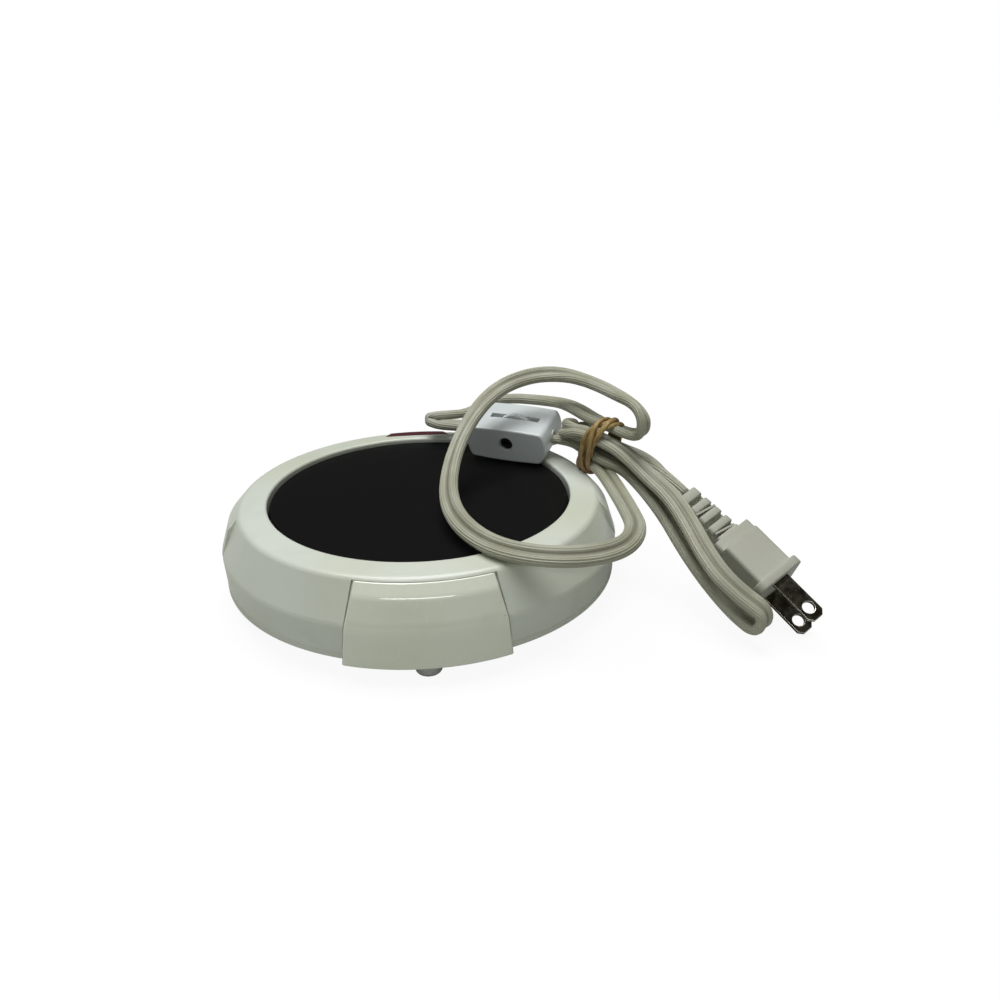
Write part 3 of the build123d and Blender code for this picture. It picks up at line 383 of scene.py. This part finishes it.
zinc = metal("zinc_plate", shade(196, 196, 192), shade(158, 156, 150), roughness=0.24)
dress(zinc, "retainer_screws", "base_screws", "clamp_screws", "plate_stud", "stud_washer")
dress(zinc, "stud_nut", "pressure_plate", "plate_retainer", "fuse_clip", "thermal_fuse")
# Painted shade: the switch's screw and nut get a darker steel, which stands for the shade in the
# screw's recess.
switch_steel_painted_shade = metal("switch_steel_painted_shade", shade(96, 98, 100), shade(62, 63, 65), roughness=0.24)
dress(switch_steel_painted_shade, "switch_screw", "switch_nut")
brass = metal("brass_strip", shade(196, 160, 92), shade(160, 122, 62), roughness=0.28)
dress(brass, "thermostat_terminals", "switch_axle", "switch_contacts")
foil = metal("foil_face", shade(206, 208, 208), shade(176, 178, 178), roughness=0.22)
dress(foil, "heating_element")


# Inside pieces that no window shows still have their own finishes: felt pad, phenolic
# thermostat, silicone gasket, lamp glass, vinyl leads and white holders.
def plain_goods(name, light, dark, roughness, grain, relief):
    """A plain material with patches of tone. Grain is the size of its relief, in metres."""
    finish = Finish(name)
    patch = finish.noise(size=grain * 8, detail=3.0)
    tone = finish.blend(patch.between(0.3, 0.7), light, dark)
    finish.set(Base_Color=tone, Roughness=roughness + patch * 0.12)
    finish.bump(finish.noise(size=grain, detail=3.0, seed=1.0), relief)
    return finish


felt = plain_goods(
    "pressed_fibre", shade(206, 200, 180), shade(186, 178, 152), 0.85, grain=0.0006, relief=0.0001
)
dress(felt, "insulation_pad")
phenolic = plain_goods(
    "phenolic", shade(44, 40, 38), shade(30, 28, 27), 0.45, grain=0.0008, relief=0.00003
)
dress(phenolic, "thermostat", "lamp_resistor", "crimp_sleeves", "plug_core")
silicone = plain_goods(
    "silicone_grey", shade(120, 120, 118), shade(98, 98, 96), 0.55, grain=0.0009, relief=0.00003
)
dress(silicone, "plate_gasket")
lamp_glass = plain_goods(
    "lamp_glass", shade(214, 150, 120), shade(196, 120, 92), 0.1, grain=0.002, relief=0.00001
)
dress(lamp_glass, "neon_lamp")
lead_vinyl = plain_goods(
    "lead_vinyl", shade(214, 214, 206), shade(196, 196, 184), 0.4, grain=0.0007, relief=0.00002
)
dress(lead_vinyl, *[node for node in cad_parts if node.startswith("lead_")])
inner_white = moulded(
    "inner_white", shade(212, 216, 206), shade(202, 206, 188), roughness=0.36, grime=0.4
)
dress(inner_white, "lamp_holder", "cord_clamp")

# The switch is two halves of bluish white plastic held by a screw and nut, with a grey
# knurled wheel in a slot. Its faces are cloudy and finely scratched.
switch_white = moulded(
    "switch_white", shade(212, 219, 219), shade(203, 210, 209), roughness=0.3, grime=0.5
)
dress(switch_white, "switch_front_half", "switch_back_half")
wheel_grey = plain_goods(
    "wheel_grey", shade(222, 226, 227), shade(204, 209, 211), 0.42, grain=0.0006, relief=0.00004
)
dress(wheel_grey, "thumbwheel")

# The plug and its blades leave the CAD with knife edges, so softened copies stand for
# them. A copy's flat faces are merged first, so that the bevel meets only real edges.
soft_sharp = math.radians(30)
same_point = 0.000002
same_face = math.radians(0.5)
bevel_steps = 3
shade_sharp = math.radians(40)


def softened(node, width, edge_material=-1):
    """A copy of a CAD node with its sharp edges rounded, which stands for the node."""
    build = bmesh.new()
    build.from_mesh(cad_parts[node].data)
    bmesh.ops.remove_doubles(build, verts=build.verts, dist=same_point)
    bmesh.ops.dissolve_limit(build, angle_limit=same_face, verts=build.verts, edges=build.edges)
    edges = [e for e in build.edges if e.is_manifold and e.calc_face_angle(0.0) > soft_sharp]
    bmesh.ops.bevel(
        build,
        geom=edges,
        offset=width,
        segments=bevel_steps,
        profile=0.5,
        material=edge_material,
        affect="EDGES",
        clamp_overlap=False,
    )
    bmesh.ops.triangulate(build, faces=[f for f in build.faces if len(f.verts) > 4])
    piece = add_piece(node + "_moulded", moulded_mesh(node + "_moulded", build, shade_sharp))
    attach(piece, "body")
    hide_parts(node)
    return piece


# The plug is moulded vinyl, a little greyer than the cord, with a matte skin and no
# coat of gloss.
plug_vinyl = moulded(
    "plug_vinyl", shade(172, 173, 160), shade(160, 161, 145), roughness=0.46, grime=0.5, skin=0.00006
)
plug_vinyl.set(Coat_Weight=0.0)
plug = softened("plug_body", width=0.0005)
plug.data.materials.append(plug_vinyl.material)

# Moulded webs slant across two slots on each side of the strain relief, so that the ribs
# and webs read as zigzags. A Geometry Nodes tree repeats one bar along a row.
web_count = 2
web_first = 0.03416
web_pitch = 0.009244
web_stagger = web_pitch / 4
web_face = 0.00345
web_size = (0.00070, 0.0076, 0.0012)
web_lean = -0.16
plug_face = Vector((0.1157, -0.0502, 0.0145))
plug_along = Vector((0.534, -0.695, -0.481)).normalized()
plug_across = Vector((0.110, 0.621, -0.776)).normalized()
plug_turn = Matrix((plug_along, plug_across.cross(plug_along), plug_across)).transposed()


class Row:
    """A Geometry Nodes tree that repeats a box along a line, with named inputs."""

    def __init__(self, name, material, **values):
        self.tree = bpy.data.node_groups.new(name, "GeometryNodeTree")
        kinds = {int: "NodeSocketInt", tuple: "NodeSocketVector"}
        names = self.tree.interface
        for title, value in values.items():
            names.new_socket(title, in_out="INPUT", socket_type=kinds[type(value)])
        names.new_socket("Geometry", in_out="OUTPUT", socket_type="NodeSocketGeometry")
        given = self.tree.nodes.new("NodeGroupInput").outputs
        line = self.step("GeometryNodeMeshLine", Count=given["Count"], Offset=given["Offset"])
        box = self.step("GeometryNodeMeshCube", Size=given["Size"])
        bars = {"Points": line, "Instance": box, "Rotation": given["Turn"]}
        row = self.step("GeometryNodeInstanceOnPoints", **bars)
        real = self.step("GeometryNodeRealizeInstances", Geometry=row)
        made = self.step("GeometryNodeSetMaterial", Geometry=real, Material=material)
        result = self.tree.nodes.new("NodeGroupOutput")
        self.tree.links.new(made, result.inputs[0])
        self.mesh = self.evaluated(name, values)

    def step(self, kind, **feeds):
        """Adds a node with its inputs linked or set, and gives its first output."""
        node = self.tree.nodes.new(kind)
        for title, value in feeds.items():
            if isinstance(value, bpy.types.NodeSocket):
                self.tree.links.new(value, node.inputs[title])
            else:
                node.inputs[title].default_value = value
        return node.outputs[0]

    def evaluated(self, name, values):
        """The tree's result as a plain mesh, with its inputs set on a modifier."""
        carrier = bpy.data.objects.new(name, bpy.data.meshes.new(name))
        bpy.context.collection.objects.link(carrier)
        row = carrier.modifiers.new(name, "NODES")
        row.node_group = self.tree
        for item in self.tree.interface.items_tree:
            if item.in_out == "INPUT":
                row[item.identifier] = values[item.name]
        bpy.context.view_layer.update()
        ready = carrier.evaluated_get(bpy.context.evaluated_depsgraph_get())
        mesh = bpy.data.meshes.new_from_object(ready)
        carrier.modifiers.clear()
        bpy.data.objects.remove(carrier)
        return mesh


for side, first in ((-1, web_first), (1, web_first + web_stagger)):
    row = Row(
        "relief_webs",
        plug_vinyl.material,
        Count=web_count,
        Offset=(web_pitch, 0.0, 0.0),
        Size=web_size,
        Turn=(0.0, 0.0, side * web_lean),
    )
    row.mesh.transform(Matrix.Translation((-first, 0.0, side * web_face)))
    row.mesh.transform(Matrix.Translation(plug_face) @ plug_turn.to_4x4())
    webs = add_piece("relief_webs", row.mesh)
    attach(webs, "body")

# The two flat blades are nickel-plated brass with a dark shine and tarnish specks. Their
# rounded edges get a second, brighter material that is a painted highlight along them.
even = (0.2, 0.2, 0.2)
blade_nickel = metal(
    "blade_nickel", shade(120, 114, 100), shade(92, 86, 74), roughness=0.1, drawn=even
)
tarnish = blade_nickel.specks(spacing=0.0010, size=0.00024, share=0.45)
blade_cloud = blade_nickel.noise(size=0.003, detail=3.0, seed=6.0).between(0.3, 0.65)
blade_tone = blade_nickel.blend(blade_cloud, shade(128, 122, 108), shade(66, 61, 50))
blade_tone = blade_nickel.blend(tarnish * 0.7, blade_tone, shade(190, 184, 170))
blade_nickel.set(Base_Color=blade_tone)
# Painted highlight: the bevel faces get this bright metal, which stands for the glint of light along
# the blade edges.
blade_painted_highlight = metal(
    "blade_painted_highlight", shade(226, 222, 210), shade(150, 144, 130), roughness=0.16, drawn=even
)
blades = softened("plug_blades", width=0.00022, edge_material=1)
blades.data.materials.append(blade_nickel.material)
blades.data.materials.append(blade_painted_highlight.material)

# The flat cord has two cores side by side in cream vinyl, 7.0 mm wide and 3.5 mm thick.
# Fine ribs run along both, less deep on the second, with a groove between them.
cord_thick = 0.0035
core_radius = cord_thick / 2
web_half = 0.0012
groove_half = 0.00102
rib_depth = 0.00013
rib_count = 13
rib_fade = 3
second_rib_share = 0.6
core_steps = 66
steps_per_point = 10
shortest_step = 0.00001


def flat_cord_section():
    """Points round the figure-eight section, as (across, towards the face)."""
    wrap = math.pi - math.asin(web_half / core_radius)
    outline = []
    for side, rib_share in ((1, 1.0), (-1, second_rib_share)):
        for step in range(core_steps):
            angle = wrap * (2 * step / (core_steps - 1) - 1)
            rib = rib_depth * math.cos(rib_count * angle) * rib_share
            reach = core_radius + rib * min(1.0, rib_fade * (1 - abs(angle) / wrap))
            across = side * (core_radius + reach * math.cos(angle))
            outline.append((across, side * reach * math.sin(angle)))
        outline.append((0.0, side * groove_half))
    return outline


def smooth_line(name, points):
    """The points of a NURBS spline that has a route's points as its control points."""
    curve = bpy.data.curves.new(name, "CURVE")
    curve.dimensions = "3D"
    curve.resolution_u = steps_per_point
    spline = curve.splines.new("NURBS")
    spline.points.add(len(points) - 1)
    for place, point in zip(spline.points, points):
        place.co = (*point, 1.0)
    spline.order_u = 3
    spline.use_endpoint_u = True
    bare = bpy.data.objects.new(name, curve)
    bpy.context.collection.objects.link(bare)
    bpy.context.view_layer.update()
    ready = bare.evaluated_get(bpy.context.evaluated_depsgraph_get())
    mesh = bpy.data.meshes.new_from_object(ready)
    line = [mesh.vertices[0].co.copy()]
    for vertex in mesh.vertices:
        if (vertex.co - line[-1]).length > shortest_step:
            line.append(vertex.co.copy())
    bpy.data.meshes.remove(mesh)
    bpy.data.objects.remove(bare)
    bpy.data.curves.remove(curve)
    return line


def line_length(line):
    return sum((b - a).length for a, b in zip(line, line[1:]))


def face_at(faces, place):
    """The way the broad side looks at a place on the route, between the chosen ones."""
    marks = sorted(faces)
    if place <= marks[0]:
        return Vector(faces[marks[0]]).normalized()
    for low, high in zip(marks, marks[1:]):
        if place <= high:
            share = (place - low) / (high - low)
            share = share * share * (3 - 2 * share)
            return Vector(faces[low]).normalized().lerp(Vector(faces[high]).normalized(), share)
    return Vector(faces[marks[-1]]).normalized()


def tube_mesh(name, rings, closed=False):
    """A tube through rings of points, with lengthwise UVs, and end caps unless closed."""
    mesh = bpy.data.meshes.new(name)
    build = bmesh.new()
    layer = build.loops.layers.uv.new("along")
    loops = [[build.verts.new(point) for point in ring] for ring in rings]
    sides = len(rings[0])
    travel = [0.0]
    for before, after in zip(rings, rings[1:]):
        move = (sum(after, Vector()) - sum(before, Vector())) / sides
        travel.append(travel[-1] + move.length)
    for index in range(len(loops) if closed else len(loops) - 1):
        here = loops[index]
        there = loops[(index + 1) % len(loops)]
        start = travel[index]
        end = travel[min(index + 1, len(travel) - 1)]
        for step in range(sides):
            ahead = (step + 1) % sides
            face = build.faces.new((here[step], here[ahead], there[ahead], there[step]))
            face.smooth = True
            places = ((start, step), (start, step + 1), (end, step + 1), (end, step))
            for loop, (reach, turn) in zip(face.loops, places):
                loop[layer].uv = (reach, turn / sides)
    if not closed:
        build.faces.new(loops[0][::-1])
        build.faces.new(loops[-1])
    bmesh.ops.recalc_face_normals(build, faces=build.faces)
    build.to_mesh(mesh)
    build.free()
    return mesh


def flat_cord(name, points, faces):
    """A flat cord's piece along a route, its broad side turned as the faces say."""
    line = smooth_line(name + "_line", points)
    section = flat_cord_section()
    spans = len(points) - 2
    rings = []
    for index, place in enumerate(line):
        before = line[max(index - 1, 0)]
        after = line[min(index + 1, len(line) - 1)]
        ahead = (after - before).normalized()
        face = face_at(faces, index / (len(line) - 1) * spans + 0.5)
        across = face.cross(ahead).normalized()
        face = ahead.cross(across).normalized()
        rings.append([place + across * x + face * y for x, y in section])
    return add_piece(name, tube_mesh(name, rings), cord_cream), line


# The vinyl has clouds of tone, streaks along the cord and some grime. Its grooves get painted
# shade, and it finds them from the turn round the section in its own UVs.
vinyl = shade(172, 173, 155)
cord_cream = Finish("cord_cream")
round_cord = cord_cream.split(cord_cream.along)[1] * 2
cord_drawn = cord_cream.stretched(cord_cream.along, (1.0, 1.6, 1.0))
cord_streaks = cord_cream.noise(size=0.02, detail=2.0, vector=cord_drawn)
cord_cloud = cord_cream.noise(size=0.012, detail=3.0, seed=2.0)
cord_grime = cord_cream.noise(size=0.0016, detail=3.0, seed=5.0).between(0.58, 0.8)
groove_place = core_steps / (core_steps + 1)
from_groove = cord_cream.maths("FRACT", round_cord - (groove_place - 0.5)) - 0.5
groove_painted_shade = 1 - cord_cream.maths("ABSOLUTE", from_groove).between(0.012, 0.07)
cord_tone = cord_cream.blend(cord_cloud.between(0.3, 0.7), vinyl, shade(157, 157, 136))
cord_tone = cord_cream.blend(cord_streaks.between(0.53, 0.66) * 0.5, cord_tone, shade(128, 126, 106))
cord_tone = cord_cream.blend(cord_grime * 0.3, cord_tone, shade(118, 114, 94))
# Painted shade: the groove between the cores is darkened in the colour.
cord_tone = cord_cream.blend(groove_painted_shade * 0.5, cord_tone, shade(92, 88, 70))
cord_cream.set(Base_Color=cord_tone, Roughness=0.36 + cord_streaks * 0.16 + cord_grime * 0.1)
cord_cream.bump(cord_streaks + cord_cream.noise(size=0.0006, detail=2.0) * 0.4, depth=0.00006)
end_cream = Finish("cord_end_cream")
end_cloud = end_cream.noise(size=0.004, detail=3.0)
end_tone = end_cream.blend(end_cloud, vinyl, shade(154, 154, 134))
end_cream.set(Base_Color=end_tone, Roughness=0.38 + end_cloud * 0.14)
end_cream.bump(end_cream.noise(size=0.0006, detail=2.0), depth=0.00004)
dress(end_cream, "cord_gland", "cord_tail")

# The first stretch runs from the gland behind the housing, through the tie, along the
# front, over the plate and round in a big arch, back through the tie to the switch. The
# faces say which way the broad side looks at some of the points, by their numbers.
stretch_points = [
    (0.03950, 0.06842, 0.0157), (0.04360, 0.07552, 0.0157), (0.0520, 0.0805, 0.0175),
    (0.0615, 0.0740, 0.0230), (0.0670, 0.0610, 0.0290), (0.0690, 0.0470, 0.0340),
    (0.0690, 0.0345, 0.0366), (0.0670, 0.0245, 0.0373), (0.0640, 0.0162, 0.0378),
    (0.0678, 0.0029, 0.0376), (0.0695, -0.0120, 0.0360), (0.0702, -0.0290, 0.0352),
    (0.0693, -0.0440, 0.0358), (0.0625, -0.0570, 0.0364), (0.0500, -0.0625, 0.0368),
    (0.0350, -0.0615, 0.0370), (0.0220, -0.0545, 0.0373), (0.0135, -0.0420, 0.0382),
    (0.0095, -0.0260, 0.0393), (0.0100, -0.0090, 0.0420), (0.0140, 0.0060, 0.0480),
    (0.0215, 0.0180, 0.0565), (0.0315, 0.0285, 0.0625), (0.0450, 0.0365, 0.0648),
    (0.0575, 0.0350, 0.0653), (0.0675, 0.0220, 0.0650), (0.0743, 0.0060, 0.0642),
    (0.0778, -0.0025, 0.0632), (0.0796, -0.0072, 0.0600), (0.0793, -0.0072, 0.0548),
    (0.0766, -0.0022, 0.0526), (0.0728, 0.0057, 0.0522), (0.0665, 0.0170, 0.0524),
    (0.0628, 0.0295, 0.0524), (0.0595, 0.0420, 0.0510), (0.0508, 0.0516, 0.0496),
    (0.0396, 0.0570, 0.0492), (0.0300, 0.0589, 0.0472), (0.0215, 0.0583, 0.0428),
    (0.0125, 0.0571, 0.0428), (0.0056, 0.0558, 0.0429), (0.0053, 0.0546, 0.0411),
    (0.0096, 0.0515, 0.0406), (0.01722, 0.04576, 0.04217), (0.02463, 0.04225, 0.04201),
]
stretch_faces = {
    0: (0.0, 0.0, 1.0),
    8: (0.0, 0.0, 1.0),
    11: (0.1, -0.1, 1.0),
    14: (0.1, -0.6, 0.8),
    17: (-0.5, -0.3, 0.8),
    20: (-0.6, -0.3, 0.7),
    23: (-0.1, -0.5, 0.85),
    25: (0.3, -0.4, 0.9),
    28: (0.8, -0.55, 0.2),
    31: (0.0, -0.5, -0.85),
    33: (0.0, -0.2, -1.0),
    36: (0.0, -0.2, -1.0),
    39.8: (0.0, -0.41, -0.91),
    40.5: (1.0, -0.1, 0.0),
    41.2: (0.0, 0.41, 0.91),
    43: (0.0, 0.0, 1.0),
}
stretch, stretch_line = flat_cord("cord_loops", stretch_points, stretch_faces)
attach(stretch, "body")
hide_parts("cord_body_stretch")

# The second stretch leaves the switch, goes through the tie down to a fold near the
# table, comes back up, turns round in the tie and runs down to the plug.
hank_points = [
    (0.05356, 0.02855, 0.04139), (0.06097, 0.02504, 0.04123), (0.0640, 0.0150, 0.0414),
    (0.0690, 0.0027, 0.0412), (0.0760, -0.0010, 0.0384), (0.0792, -0.0070, 0.0362),
    (0.0828, -0.0145, 0.0329), (0.0864, -0.0230, 0.0284), (0.0889, -0.0320, 0.0237),
    (0.0919, -0.0405, 0.0191), (0.0956, -0.0485, 0.0146), (0.0994, -0.0550, 0.0109),
    (0.1020, -0.0590, 0.0090), (0.1046, -0.0624, 0.0076), (0.1060, -0.0646, 0.0094),
    (0.1064, -0.0652, 0.0124), (0.1054, -0.0642, 0.0150), (0.1014, -0.0604, 0.0172),
    (0.0950, -0.0545, 0.0222), (0.0913, -0.0455, 0.0276), (0.0897, -0.0345, 0.0320),
    (0.0863, -0.0235, 0.0374), (0.0816, -0.0135, 0.0400), (0.0742, -0.0028, 0.0462),
    (0.0678, 0.0038, 0.0485), (0.0626, 0.0135, 0.0487), (0.0568, 0.0178, 0.0480),
    (0.0564, 0.0245, 0.0471), (0.0622, 0.0276, 0.0461), (0.0672, 0.0235, 0.0452),
    (0.0680, 0.0163, 0.0448), (0.0738, 0.0048, 0.0446), (0.0828, -0.0016, 0.0430),
    (0.08814, -0.01434, 0.03932), (0.09252, -0.02004, 0.03538),
]
hank_faces = {
    0: (0.0, 0.0, 1.0),
    4: (0.0, 0.0, 1.0),
    8: (-0.1, -0.3, 0.9),
    12: (-0.3, -0.1, 0.9),
    15: (-0.6, 0.75, 0.1),
    18: (0.1, 0.4, -0.9),
    21: (0.1, 0.3, -0.9),
    24: (0.0, 0.0, -1.0),
    27: (0.9, -0.4, -0.3),
    30: (0.0, 0.0, -1.0),
    31: (0.0, 0.0, -1.0),
    34: (-0.838, -0.361, -0.408),
}
hank, hank_line = flat_cord("cord_hank_loops", hank_points, hank_faces)
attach(hank, "body")
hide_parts("cord_hank")

# The tie is a tan rubber band wound four times round the bundle, so that its strands
# twist round each other. Its colour turns darker and browner towards the bottom.
band_centre = Vector((0.0680, 0.0096, 0.0443))
band_yaw = math.radians(-62)
band_half_width = 0.0049
band_half_height = 0.0091
band_squareness = 2.7
band_turns = 4
band_twists = 5
band_spread = 0.0029
band_lean = 0.0046
band_stack = 0.0008
band_half_flat = 0.00115
band_half_thin = 0.00082
band_roll = 0.9
band_roll_squash = 0.6
band_steps = 420
band_look_ahead = 0.001
band_sides = 14


def band_line(share):
    """A point on the band's middle line, and the way out from the bundle there."""
    turn = 2 * math.pi * band_turns * share
    twist = 2 * math.pi * band_twists * share
    along = Vector((math.cos(band_yaw), math.sin(band_yaw), 0.0))
    across = Vector((-math.sin(band_yaw), math.cos(band_yaw), 0.0))
    power = 2 / band_squareness
    side = math.copysign(abs(math.cos(turn)) ** power, math.cos(turn)) * band_half_width
    rise = math.copysign(abs(math.sin(turn)) ** power, math.sin(turn)) * band_half_height
    upward = Vector((0.0, 0.0, math.sin(turn) / band_half_height))
    out = (across * math.cos(turn) / band_half_width + upward).normalized()
    stack = band_stack * (1 + math.cos(twist)) + band_half_thin
    place = band_centre + across * side + Vector((0, 0, rise)) + out * stack
    return place + along * (band_lean * math.sin(turn) + band_spread * math.sin(twist)), out


band_rings = []
for step in range(band_steps):
    share = step / band_steps
    place, out = band_line(share)
    before, after = (band_line(share + look)[0] for look in (-band_look_ahead, band_look_ahead))
    ahead = (after - before).normalized()
    side = ahead.cross(out).normalized()
    out = side.cross(ahead).normalized()
    roll = band_roll * math.sin(2 * math.pi * band_twists * share)
    ring = []
    for corner in range(band_sides):
        angle = 2 * math.pi * corner / band_sides
        flat = band_half_flat * math.cos(angle)
        thin = band_half_thin * math.sin(angle)
        turned = flat * math.cos(roll) - thin * math.sin(roll)
        lifted = flat * math.sin(roll) * band_roll_squash + thin * math.cos(roll)
        ring.append(place + side * turned + out * lifted)
    band_rings.append(ring)
band_tan = Finish("band_tan")
band_drawn = band_tan.stretched(band_tan.place, (1.0, 1.0, 0.3))
band_streak = band_tan.noise(size=0.0012, detail=3.0, vector=band_drawn)
darker_below = 1 - band_tan.split(band_tan.place)[2].between(0.034, 0.046)
band_tone = band_tan.blend(band_streak.between(0.3, 0.7), shade(184, 158, 104), shade(140, 112, 64))
band_tone = band_tan.blend(darker_below * 0.75, band_tone, shade(132, 94, 62))
band_tan.set(Base_Color=band_tone, Roughness=0.46 + band_streak * 0.2)
band_tan.bump(band_streak + band_tan.noise(size=0.0004, detail=2.0), depth=0.00012)
band_mesh = tube_mesh("rubber_band_turns", band_rings, closed=True)
band = add_piece("rubber_band_turns", band_mesh, band_tan)
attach(band, "body")
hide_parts("rubber_band")

# The first stretch carries the tie and the switch, and the second carries the plug. The
# gland and the switch's pieces are listed for the first, and both lengths are measured;
# neither is used further.
stretch_goods = ["cord_gland", "switch_front_half", "switch_back_half", "thumbwheel"]
stretch_goods += ["switch_axle", "switch_screw", "switch_nut", "switch_contacts"]
line_length(stretch_line)
line_length(hank_line)

# The table is a plain white sheet that keeps a soft shadow. The camera sees mostly its
# glow, and nothing but the glow far out, so that it runs into the white behind it.
floor_reach = 6.0
floor_drop = 0.0002
near_glow = 0.86
fade_start = 0.2
fade_end = 0.7
white = (1.0, 1.0, 1.0, 1.0)
floor_mesh = bpy.data.meshes.new("floor")
floor_build = bmesh.new()
bmesh.ops.create_grid(floor_build, x_segments=1, y_segments=1, size=floor_reach)
floor_build.to_mesh(floor_mesh)
floor_build.free()
floor_white = Finish("floor_white")
floor_paper = floor_white.noise(size=0.05, detail=2.0)
floor_tone = floor_white.blend(floor_paper, shade(196, 198, 194), shade(190, 192, 188))
floor_white.set(Base_Color=floor_tone, Roughness=0.9)
seen = floor_white.node("ShaderNodeLightPath", output="Is Camera Ray")
through = floor_white.node("ShaderNodeLightPath", output="Is Transmission Ray")
far_out = floor_white.from_axis().between(fade_start, fade_end)
glow_share = floor_white.maths("MAXIMUM", seen, through) * (near_glow + far_out * (1 - near_glow))
glow = floor_white.node("ShaderNodeEmission", None, {"Color": white, "Strength": 1.08})
surface = Field(floor_white, floor_white.shader.outputs[0])
shown = floor_white.node("ShaderNodeMixShader", None, {0: glow_share, 1: surface, 2: glow})
floor_white.feed(floor_white.nodes["Material Output"].inputs["Surface"], shown)
floor = add_piece("floor", floor_mesh, floor_white)
floor.location = (0.0, 0.0, -floor_drop)

# An even grey-white sky fills the shadows, and the camera sees it as plain white.
world = bpy.data.worlds.new("sky")
bpy.context.scene.world = world
world.use_nodes = True
sky_nodes = world.node_tree.nodes
sky_links = world.node_tree.links
ambient = sky_nodes["Background"]
ambient.inputs["Color"].default_value = (0.97, 1.0, 0.98, 1.0)
ambient.inputs["Strength"].default_value = 0.115
plain_white = sky_nodes.new("ShaderNodeBackground")
plain_white.inputs["Color"].default_value = white
ray = sky_nodes.new("ShaderNodeLightPath")
sky_mix = sky_nodes.new("ShaderNodeMixShader")
sky_links.new(ray.outputs["Is Camera Ray"], sky_mix.inputs[0])
sky_links.new(ambient.outputs[0], sky_mix.inputs[1])
sky_links.new(plain_white.outputs[0], sky_mix.inputs[2])
sky_links.new(sky_mix.outputs[0], sky_nodes["World Output"].inputs["Surface"])


# A large soft lamp hangs over the warmer, a little behind it. A long narrow one in front
# draws the bright line along the top of the glossy panel.
def soft_lamp(name, place, target, width, height, power):
    """A rectangular lamp at a place that shines at a target. Its power is in watts."""
    data = bpy.data.lights.new(name, "AREA")
    data.shape = "RECTANGLE"
    data.size = width
    data.size_y = height
    data.energy = power
    lamp = bpy.data.objects.new(name, data)
    lamp.location = place
    lamp.rotation_mode = "QUATERNION"
    lamp.rotation_quaternion = (Vector(target) - Vector(place)).to_track_quat("-Z", "Y")
    bpy.context.collection.objects.link(lamp)


soft_lamp("overhead", (-0.06, 0.08, 1.0), (0.0, 0.0, 0.0), width=0.9, height=0.7, power=10.8)
soft_lamp("strip", (-0.06, -0.80, 0.55), (0.0, -0.06, 0.02), width=0.6, height=0.06, power=0.8)
